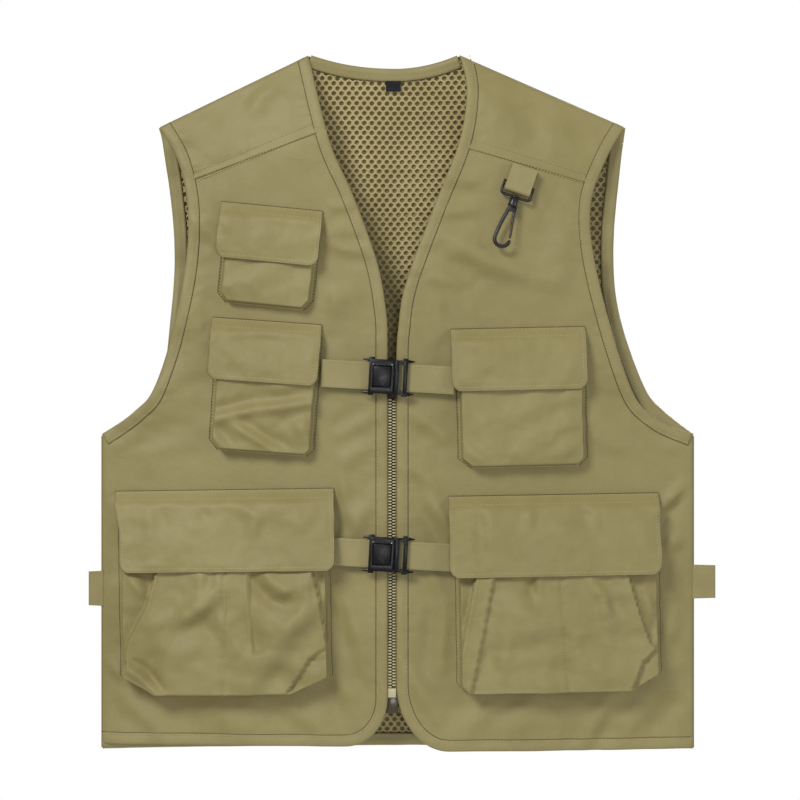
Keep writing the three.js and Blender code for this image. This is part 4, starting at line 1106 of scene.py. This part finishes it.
for name in buckleSet:
    turn = buckleFrame(name)
    for side in (-1, 1):
        node = f"strap_{sideName[side]}_{name}"
        low, high = (corner.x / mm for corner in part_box(node))
        start, end = (low + 0.6, high) if side < 0 else (low, high - 0.6)

        def place(along, across, lift, turn=turn, start=start, end=end):
            slack = webbing["slack"] * np.sin((along - start) / (end - start) * np.pi)
            return turned(turn, along, -webbing["out"] - lift - slack, across)
        placedStrap(node, start, end, place, [node])
        at = np.linspace(start + 1, end - 1, 60)
        for across in (-1, 1):
            row = np.full_like(at, across * (webbing["width"] / 2 - webbing["stitchIn"]))
            pocketSeams.append(("vest", np.column_stack(place(at, row, np.full_like(at, 0.5)))))
print("straps ready")

tabSet = {-1: {"z": (-539.0, -505.0), "reach": 11.3}, 1: {"z": (-532.0, -499.0), "reach": 21.0}}
for side, tab in tabSet.items():
    low, high = tab["z"]
    start, end = side * (shell["side"][side] - 1.5), side * (shell["side"][side] + tab["reach"])
    run = abs(end - start)

    # out along the front, round the end, back behind
    def foldedTab(u, v, start=start, run=run, side=side, low=low, high=high):
        along = u * (2 * run + 4)
        t = np.clip((along - run) / 4, 0, 1) * np.pi
        out = np.where(along < run, along,
                       np.where(along > run + 4, 2 * run + 4 - along, run + 1.1 * np.sin(t)))
        y = -1.35 * np.cos(t)
        y = y + 0.12 * bumpsAt(along, v * 30, 6.0,
                               side) - 0.06 * np.sin(v * 22 * 2 * np.pi) * np.cos(t)
        taper = 0.5 + (v - 0.5) * (1 - 0.03 * smooth(out / run))
        return start + side * out - side * 1.1, y, low + (high - low) * taper
    bm = sheetMesh(max(int(run * 1.4), 22), 84, foldedTab, -1)
    thicken(toPiece(f"sideTab_{sideName[side]}", bm, webCloth, "vest",
                    [f"side_tab_{sideName[side]}"]), 1.1)
    for across in (0.08, 0.92):
        us = np.linspace(0.04, 0.42, 40)
        spots = np.column_stack(foldedTab(us, np.full_like(us, across)))
        spots[:, 1] -= 0.1
        pocketSeams.append(("vest", spots))
print("side tabs ready")

# ---- Zip ----

zipSet = {"top": -334.0, "foot": -617.0, "pitch": 2.9, "slit": 0.32, "tooth": (3.3, 1.75, 2.5),
          "tape": (3.9, 15.5), "depth": -1.9, "tapeDepth": -2.6}


# One tooth is a block that narrows to its root; its row is the tooth repeated up the tape.
def toothRow(name, side, offset, nodes):
    bm = bmesh.new()
    wide, high, deep = zipSet["tooth"]
    bmesh.ops.create_cube(bm, size=1.0)
    bmesh.ops.scale(bm, vec=(wide, deep, high), verts=bm.verts)
    bmesh.ops.bevel(bm, geom=bm.edges[:], offset=0.38, segments=1, **bevelWays)
    for v in bm.verts:
        if v.co.x * side > 0:
            v.co.z *= 0.72
    spot = (side * (zipSet["slit"] + wide / 2), chestY - zipSet["depth"], zipSet["foot"] + offset)
    bmesh.ops.translate(bm, vec=spot, verts=bm.verts)
    count = int((zipSet["top"] - zipSet["foot"] - offset) / zipSet["pitch"])
    repeatAll(bm, count, lambda k: (0, 0, k * zipSet["pitch"]))
    toPiece(name, bm, toothPlastic, "vest", nodes, sharp=40)


for side, offset in ((-1, 1.2), (1, 2.65)):
    where = sideName[side]
    toothRow(f"zipTeeth_{where}", side, offset, [f"zipper_chain_{where}"])

    def tapePlace(u, v, side=side):
        near, far = zipSet["tape"]
        x = side * (near - 1.0 + (far - near + 1.0) * u)
        rib = 0.1 * np.sin(u * 9 * 2 * np.pi)
        bead = 0.5 * np.exp(-((u - 0.04) / 0.04) ** 2)
        z = zipSet["foot"] - 1 + (zipSet["top"] - zipSet["foot"] + 3) * v
        return x, chestY - zipSet["tapeDepth"] - rib - bead, z
    bm = sheetMesh(26, 150, tapePlace, -1)
    clothPiece(f"zipTape_{where}", bm, [f"zipper_tape_{where}"], [zipCloth], wall=0.5,
               inside=0, flat=(0.0135, 0.286))
print("zip ready")


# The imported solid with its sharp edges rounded.
def roundedCopy(node, name, look, edge, body, segments=2):
    bm = bmesh.new()
    bm.from_mesh(frame["nodes"][node].data)
    bmesh.ops.scale(bm, vec=(1 / mm, 1 / mm, 1 / mm), verts=bm.verts)
    bmesh.ops.remove_doubles(bm, verts=bm.verts, dist=0.002)
    bmesh.ops.dissolve_limit(bm, angle_limit=math.radians(2), verts=bm.verts, edges=bm.edges)
    sharp = [e for e in bm.edges
             if len(e.link_faces) == 2 and e.calc_face_angle() > math.radians(35)]
    bmesh.ops.bevel(bm, geom=sharp, offset=edge, segments=segments, clamp_overlap=True,
                    **bevelWays)
    return toPiece(name, bm, look, body, [node], sharp=35)


def addBox(bm, x, y, z, edge, turn, segments=2):
    made = bmesh.ops.create_cube(bm, size=1.0)["verts"]
    bmesh.ops.scale(bm, vec=[high - low for low, high in (x, y, z)], verts=made)
    bmesh.ops.translate(bm, vec=[(low + high) / 2 for low, high in (x, y, z)], verts=made)
    bmesh.ops.transform(bm, matrix=turn, verts=made)
    edges = list({e for v in made for e in v.link_edges})
    bmesh.ops.bevel(bm, geom=edges, offset=edge, segments=segments, clamp_overlap=True,
                    **bevelWays)


slider = roundedCopy("zipper_slider", "zipSlider", sliderMetal, 0.35, "zip_slider")
waist = -0.3332  # below this height the slider's lower end is drawn up
for vert in slider.data.vertices:
    if vert.co.z < waist:
        vert.co.z = waist + (vert.co.z - waist) * 0.3
roundedCopy("zipper_pull", "zipPull", sliderMetal, 0.3, "zip_pull")
roundedCopy("zipper_retainer_box", "zipStopBox", toothPlastic, 0.7, "vest", 3)
roundedCopy("zipper_end_film", "zipEndFilm", filmPlastic, 0.2, "vest")

# ---- Buckles ----

buckle = {"x": (-22.3, 2.0), "half": 16.5, "back": 4.8, "thick": 8.2, "button": (17.0, 10.0),
          "buttonIn": 4.0, "rim": 1.1, "rimEdge": 0.5, "stud": 0.8, "ribs": 9, "ribWide": 0.55,
          "ribReach": 3.6, "ribLean": 38, "bars": ((2.6, 6.2), (11.2, 14.7)),
          "ear": (2.1, 0.5, 8.0), "earAt": {"housing": -24.9, "plug": 17.6}}
frontFace = -buckle["back"] - buckle["thick"]


# Two pointed corners over the webbing, towards -x or +x.
def addEars(bm, turn, x, way):
    wide, narrow, length = buckle["ear"]
    for up in (-1, 1):
        made = bmesh.ops.create_cone(bm, cap_ends=True, segments=10, radius1=wide, radius2=narrow,
                                     depth=length)["verts"]
        spot = Matrix.Translation((x, frontFace + 3.6, up * (buckle["half"] - 0.7)))
        bmesh.ops.transform(bm, matrix=turn @ spot @ Matrix.Rotation(math.radians(90 * way), 4,
                                                                     "Y"),
                            verts=made)


def ringCorners(bm, x0, x1, half):
    return [bm.verts.new((x, frontFace + 0.4, z))
            for x, z in ((x0, -half), (x1, -half), (x1, half), (x0, half))]


for name in buckleSet:
    turn = buckleFrame(name)
    for part, edge, body in (("housing", 0.55, "vest"), ("button", 0.4, f"{name}_button"),
                             ("plug", 0.35, f"{name}_plug")):
        roundedCopy(f"buckle_{part}_{name}", f"buckle{part.title()}_{name}", buckleBlack, edge,
                    body)
    (x0, x1), half = buckle["x"], buckle["half"]
    bx0 = x0 + buckle["buttonIn"]
    bx1, bz = bx0 + buckle["button"][0], buckle["button"][1]

    # a raised rim round the button
    bm = bmesh.new()
    outer = ringCorners(bm, x0 + 0.5, x1 - 0.3, half - 0.5)
    inner = ringCorners(bm, bx0 - 0.6, bx1 + 0.6, bz + 0.6)
    for k in range(4):
        bm.faces.new((outer[k], outer[k - 1], inner[k - 1], inner[k]))
    raised = bmesh.ops.extrude_face_region(bm, geom=bm.faces[:])["geom"]
    bmesh.ops.translate(bm, vec=(0, -buckle["rim"] - 0.4, 0), verts=vertsIn(raised))
    bmesh.ops.recalc_face_normals(bm, faces=bm.faces)
    sharp = [e for e in bm.edges if len(e.link_faces) == 2 and e.calc_face_angle(0) > 0.6]
    bmesh.ops.bevel(bm, geom=sharp, offset=buckle["rimEdge"], segments=2, clamp_overlap=True,
                    **bevelWays)
    bmesh.ops.transform(bm, matrix=turn, verts=bm.verts)
    addEars(bm, turn, buckle["earAt"]["housing"], -1)
    toPiece(f"buckleRim_{name}", bm, buckleBlack, "vest", [], sharp=35)

    # a small dome of light steel in each upper corner of the frame, a painted highlight for the
    # glints there
    bm = bmesh.new()
    for x in (bx0 - 0.4, bx1 + 0.6):
        spot = Matrix.Translation((x, frontFace - buckle["rim"], bz + 1.6))
        bmesh.ops.create_icosphere(bm, subdivisions=2, radius=buckle["stud"], matrix=turn @ spot)
    toPiece(f"buckleGlintStuds_{name}", bm, studGlintSteel, "vest", [])

    # slanting ribs on the button, for a thumb
    bm = bmesh.new()
    reach, ribHalf = buckle["ribReach"], buckle["ribWide"] / 2
    for k in range(buckle["ribs"]):
        z = -bz + 3.2 + k * (2 * bz - 6.4) / (buckle["ribs"] - 1)
        tilt = (Matrix.Translation(((bx0 + bx1) / 2, 0, z))
                @ Matrix.Rotation(math.radians(buckle["ribLean"]), 4, "Y"))
        addBox(bm, (-reach, reach), (frontFace - 0.25, frontFace + 0.55), (-ribHalf, ribHalf),
               0.14,
               turn @ tilt, 1)
    toPiece(f"buckleRibs_{name}", bm, hookBlack, f"{name}_button", [], sharp=35)

    # the plug's two bars with the slot between, and its own pointed corners
    bm = bmesh.new()
    for x in buckle["bars"]:
        addBox(bm, x, (frontFace - 0.3, frontFace + 2.4), (-half + 0.6, half - 0.6), 0.7, turn)
    addEars(bm, turn, buckle["earAt"]["plug"], 1)
    toPiece(f"buckleBars_{name}", bm, buckleBlack, f"{name}_plug", [], sharp=35)
print("buckles ready")

# ---- Clip hook ----

hookSet = {"tab": (25.4, 26.0), "tabFoot": -8.0, "ring": (32.0, 13.0, 2.8), "ringCorner": 3.0,
           "pin": 5.5, "barrel": 8.0, "wire": 3.6, "loop": 7.3, "loopX": 1.0, "reach": 34.0,
           "gate": 2.2, "lean": 18.8}
joints = {j["name"]: j for j in frame["joints"]}
ringAt = Vector(joints["hook_ring_swing"]["pos_m"]) / mm
ringX = -Vector(joints["hook_ring_swing"]["axis"]).normalized()
ringZ = Vector(joints["hook_swivel"]["axis"]).normalized()
ringY = ringZ.cross(ringX)
hookTurn = Matrix.Translation(ringAt) @ Matrix((ringX, ringY, ringZ)).transposed().to_4x4()
tabTurn = Matrix.Translation(ringAt) @ Matrix.Rotation(math.radians(hookSet["lean"]), 4, "Y")
hookFoot = -hookSet["ring"][1] - hookSet["ring"][2] / 2 - 0.3 - hookSet["barrel"]


# A round wire along points, thicker or thinner by spreads, placed by turn.
def wireMesh(name, points, radius, turn, closed=False, spreads=None):
    curve = bpy.data.curves.new(name + "_line", "CURVE")
    curve.dimensions = "3D"
    curve.bevel_depth = radius
    curve.bevel_resolution = 4
    curve.resolution_u = 6
    curve.use_fill_caps = True
    spline = curve.splines.new("POLY" if closed else "NURBS")
    spline.points.add(len(points) - 1)
    for at, point, spread in zip(spline.points, points, spreads or [1.0] * len(points)):
        at.co = (*point, 1)
        at.radius = spread
    spline.use_cyclic_u = closed
    if not closed:
        spline.order_u = 4
        spline.use_endpoint_u = True
    carrier = bpy.data.objects.new(name + "_line", curve)
    bpy.context.scene.collection.objects.link(carrier)
    bpy.context.view_layer.update()
    shaped = carrier.evaluated_get(bpy.context.evaluated_depsgraph_get())
    mesh = bpy.data.meshes.new_from_object(shaped)
    bpy.data.objects.remove(carrier)
    bm = bmesh.new()
    bm.from_mesh(mesh)
    bpy.data.meshes.remove(mesh)
    bmesh.ops.remove_doubles(bm, verts=bm.verts, dist=0.001)
    bmesh.ops.transform(bm, matrix=turn, verts=bm.verts)
    bmesh.ops.recalc_face_normals(bm, faces=bm.faces)
    return bm


# A closed shape turned round z from a profile of radius and height.
def spinProfile(profile, turn):
    bm = bmesh.new()
    line = [bm.verts.new((r, 0, z)) for r, z in profile]
    edges = [bm.edges.new(pair) for pair in zip(line, line[1:])]
    bmesh.ops.spin(bm, geom=line + edges, axis=(0, 0, 1), cent=(0, 0, 0), steps=28,
                   angle=2 * math.pi, use_merge=True)
    bmesh.ops.remove_doubles(bm, verts=bm.verts, dist=0.001)
    bmesh.ops.recalc_face_normals(bm, faces=bm.faces)
    bmesh.ops.transform(bm, matrix=turn, verts=bm.verts)
    return bm


def merge(target, extra):
    mesh = bpy.data.meshes.new("spare")
    extra.to_mesh(mesh)
    extra.free()
    target.from_mesh(mesh)
    bpy.data.meshes.remove(mesh)


wide, high, thick = hookSet["ring"]
halfWide, low, corner = wide / 2 - thick / 2, -high, hookSet["ringCorner"]
loop = [(-halfWide, 0, 0), (halfWide, 0, 0)]
for cx, start in ((halfWide - corner, 0), (-halfWide + corner, -90)):
    for a in (0, 18, 36, 54, 72, 90):
        angle = math.radians(start - a)
        loop.append((cx + corner * math.cos(angle), 0, low + corner + corner * math.sin(angle)))
bm = wireMesh("ring", loop, thick / 2, hookTurn, closed=True)
pinFoot = low - hookSet["pin"]
merge(bm, spinProfile([(0, low + 1.2), (3.4, low + 1.2), (3.9, low + 0.6), (3.9, low - 1.0),
                       (3.3, low - 1.5), (1.5, low - 1.5), (1.5, pinFoot), (0, pinFoot)], hookTurn))
toPiece("hookRing", bm, hookBlack, "hook_ring", ["hook_ring"], sharp=40)

top = hookFoot + hookSet["barrel"]
bm = spinProfile([(1.9, top), (3.5, top), (3.9, top - 0.5), (4.1, top - 3), (4.5, hookFoot + 0.8),
                  (4.2, hookFoot), (0, hookFoot), (0, top - 5), (1.9, top - 5), (1.9, top)],
                 hookTurn)
centre = hookFoot - hookSet["reach"]
bend = [(hookSet["loopX"] + hookSet["loop"] * math.cos(math.radians(a)), 0,
         centre + hookSet["loop"] * math.sin(math.radians(a))) for a in range(170, 386, 18)]
stem = [(x, 0, hookFoot + up) for x, up in ((-1.2, 1.5), (-1.8, -2), (-2.8, -6), (-4.2, -14),
                                            (-5.8, -24))]
path = stem + bend
spreads = [1.1, 1.1, 1.05] + [1.0] * (len(path) - 6) + [1.12, 1.05, 0.7]
merge(bm, wireMesh("bend", path, hookSet["wire"] / 2, hookTurn, spreads=spreads))
addBox(bm, (-3.0, 5.4), (-1.5, 1.5), (hookFoot - 5, hookFoot + 0.5), 0.7, hookTurn)
toPiece("hookBody", bm, hookBlack, "hook_body", ["hook_body"], sharp=40)

gateLine = [(4.2, 0, hookFoot - 5.5), (4.9, 0, hookFoot - 12), (6.2, 0, hookFoot - 20),
            (7.5, 0, centre + 8), (hookSet["loopX"] + 6.8, 0, centre + 3.1)]
bm = wireMesh("gate", gateLine, hookSet["gate"] / 2, hookTurn,
              spreads=[1.15, 1.0, 0.95, 1.1, 0.9])
toPiece("hookGate", bm, hookBlack, "hook_gate", ["hook_gate"], sharp=40)

tabWide, tabHigh = hookSet["tab"]


# Down the front to the ring, round its bar and up behind, as one folded strap.
def hookTab(u, v):
    run, foot = tabHigh - 2, hookSet["tabFoot"] + 2
    along = v * (2 * run + 8)
    t = np.clip((along - run) / 8, 0, 1) * np.pi
    z = np.where(along < run, foot + run - along,
                 np.where(along > run + 8, foot + along - run - 8, foot - 2.0 * np.sin(t)))
    x = (u - 0.5) * tabWide
    rib = 0.06 * np.sin(u * 17 * 2 * np.pi) * np.cos(t)
    return turned(tabTurn, x, -2.4 * np.cos(t) + rib + 0.2 * bumpsAt(x, z, 7.0, 4.0), z)


bm = sheetMesh(90, 44, hookTab, -1)
thicken(toPiece("hookTab", bm, webCloth, "vest", ["hook_tab"]), 1.2)
for across in (0.09, 0.91):
    vs = np.linspace(0.02, 0.36, 60)
    spots = np.column_stack(hookTab(np.full_like(vs, across), vs))
    spots[:, 1] -= 0.1
    pocketSeams.append(("vest", spots))
print("hook ready")

# ---- Size label, plain ----

labelSet = {"width": 14.5, "height": 12.0, "x": 1.2, "top": -21.5, "depth": 5.4}


def labelPlace(u, v):
    x = labelSet["x"] + (u - 0.5) * labelSet["width"]
    z = labelSet["top"] - (1 - v) * labelSet["height"]
    curl = 0.5 * smooth((1 - v - 0.6) / 0.4)
    return x, shellOut(1, x, z) - labelSet["depth"] - curl, z


bm = sheetMesh(18, 16, labelPlace, -1)
clothPiece("sizeLabel", bm, ["size_label"], [labelCloth], wall=0.5, inside=0,
           flat=(labelSet["width"] * mm, labelSet["height"] * mm))

# ---- Stitches ----

stitchSet = {"pitch": 3.2, "long": 1.0, "wide": 0.46, "tall": 0.374}


# Each row is a list of placed points; a stitch is a small bead laid along it.
def stitchPiece(name, rows, body):
    bm = bmesh.new()
    size = Matrix.Diagonal((stitchSet["long"], stitchSet["tall"], stitchSet["wide"], 1))
    for spots in rows:
        run = np.concatenate([[0], np.cumsum(np.linalg.norm(np.diff(spots, axis=0), axis=1))])
        for k in range(int(run[-1] / stitchSet["pitch"])):
            at = (k + 0.5) * stitchSet["pitch"]
            here = Vector([np.interp(at, run, spots[:, i]) for i in range(3)])
            ahead = Vector([np.interp(at + 0.6, run, spots[:, i]) for i in range(3)]) - here
            if ahead.length < 1e-4:
                continue
            turn = ahead.to_track_quat("X", "Z").to_matrix().to_4x4()
            bmesh.ops.create_icosphere(bm, subdivisions=1, radius=1.0,
                                       matrix=Matrix.Translation(here) @ turn @ size)
    toPiece(name, bm, thread, body, [])


def onShellLine(face, line, depth, way):
    line = evenly(line, 1.0)
    y = face * (shellOut(face, line[:, 0], line[:, 1]) + depth)
    return np.column_stack((line[:, 0], y + way * 0.1, line[:, 1]))


stitchPiece("stitches_edges", [onShellLine(*seam) for seam in seams], "vest")
for over in back["seamRows"]:
    z = back["seam"] + over
    ends = [(float(backArmhole[side](z)) - side * 11, z) for side in (-1, 1)]
    pocketSeams.append(("vest", onShellLine(1, np.array(ends), 0.6, 1)))
for body in sorted({row[0] for row in pocketSeams}):
    stitchPiece(f"stitches_{body}", [spots for on, spots in pocketSeams if on == body], body)
print("stitches ready")

# ---- Floor, lights and camera ----

studio = {"floorRadius": 0.6, "floorZ": -0.95, "floorTone": 0.82, "backdrop": (1, 1, 1, 1),
          "fillColor": (1.0, 0.995, 0.98, 1), "fill": 0.27, "aim": (0, 0, -0.34)}
bm = bmesh.new()
bmesh.ops.create_circle(bm, cap_ends=True, segments=96, radius=studio["floorRadius"],
                        matrix=Matrix.Translation((0, 0, studio["floorZ"])))
floorMesh = bpy.data.meshes.new("floor")
bm.to_mesh(floorMesh)
bm.free()
floor = bpy.data.objects.new("floor", floorMesh)
bpy.context.scene.collection.objects.link(floor)
paint = bpy.data.materials.new("floorPaint")
paint.use_nodes = True
painted = paint.node_tree.nodes["Principled BSDF"].inputs
painted["Base Color"].default_value = (*[studio["floorTone"]] * 3, 1)
painted["Roughness"].default_value = 0.9
floorMesh.materials.append(paint)

world = bpy.data.worlds.new("studio")
bpy.context.scene.world = world
world.use_nodes = True
tree = world.node_tree
shown = tree.nodes["Background"]
shown.inputs["Color"].default_value = studio["backdrop"]
shown.inputs["Strength"].default_value = 1.0
fill = addNode(tree, "ShaderNodeBackground", Color=studio["fillColor"], Strength=studio["fill"])
pick = addNode(tree, "ShaderNodeMixShader")
link(tree, addNode(tree, "ShaderNodeLightPath").outputs["Is Camera Ray"], pick.inputs["Fac"])
link(tree, fill.outputs["Background"], pick.inputs[1])
link(tree, shown.outputs["Background"], pick.inputs[2])
link(tree, pick.outputs["Shader"], tree.nodes["World Output"].inputs["Surface"])

lamps = [
    {"name": "keyLight", "at": (-1.4, -2.4, 1.45), "size": 1.0, "power": 60},
    {"name": "fillLight", "at": (0.2, -2.7, -0.35), "size": 0.6, "power": 10},
    {"name": "sideLight", "at": (2.0, -1.1, -0.2), "size": 0.8, "power": 9},
    {"name": "backLight", "at": (1.6, 2.3, 1.1), "size": 0.9, "power": 46},
]
for lamp in lamps:
    data = bpy.data.lights.new(lamp["name"], "AREA")
    data.shape = "SQUARE"
    data.size = lamp["size"]
    data.energy = lamp["power"]
    light = bpy.data.objects.new(lamp["name"], data)
    light.location = lamp["at"]
    toward = Vector(studio["aim"]) - light.location
    light.rotation_euler = toward.to_track_quat("-Z", "Y").to_euler()
    bpy.context.scene.collection.objects.link(light)

camera = bpy.data.objects.new("camera", bpy.data.cameras.new("camera"))
camera.data.lens = 102
camera.data.sensor_width = 36
camera.location = (0.00776, -2.222, -0.33756)
camera.rotation_euler = (math.radians(90), 0, 0)
bpy.context.scene.collection.objects.link(camera)
bpy.context.scene.camera = camera
bpy.context.scene.view_settings.view_transform = "Standard"
print("studio ready")
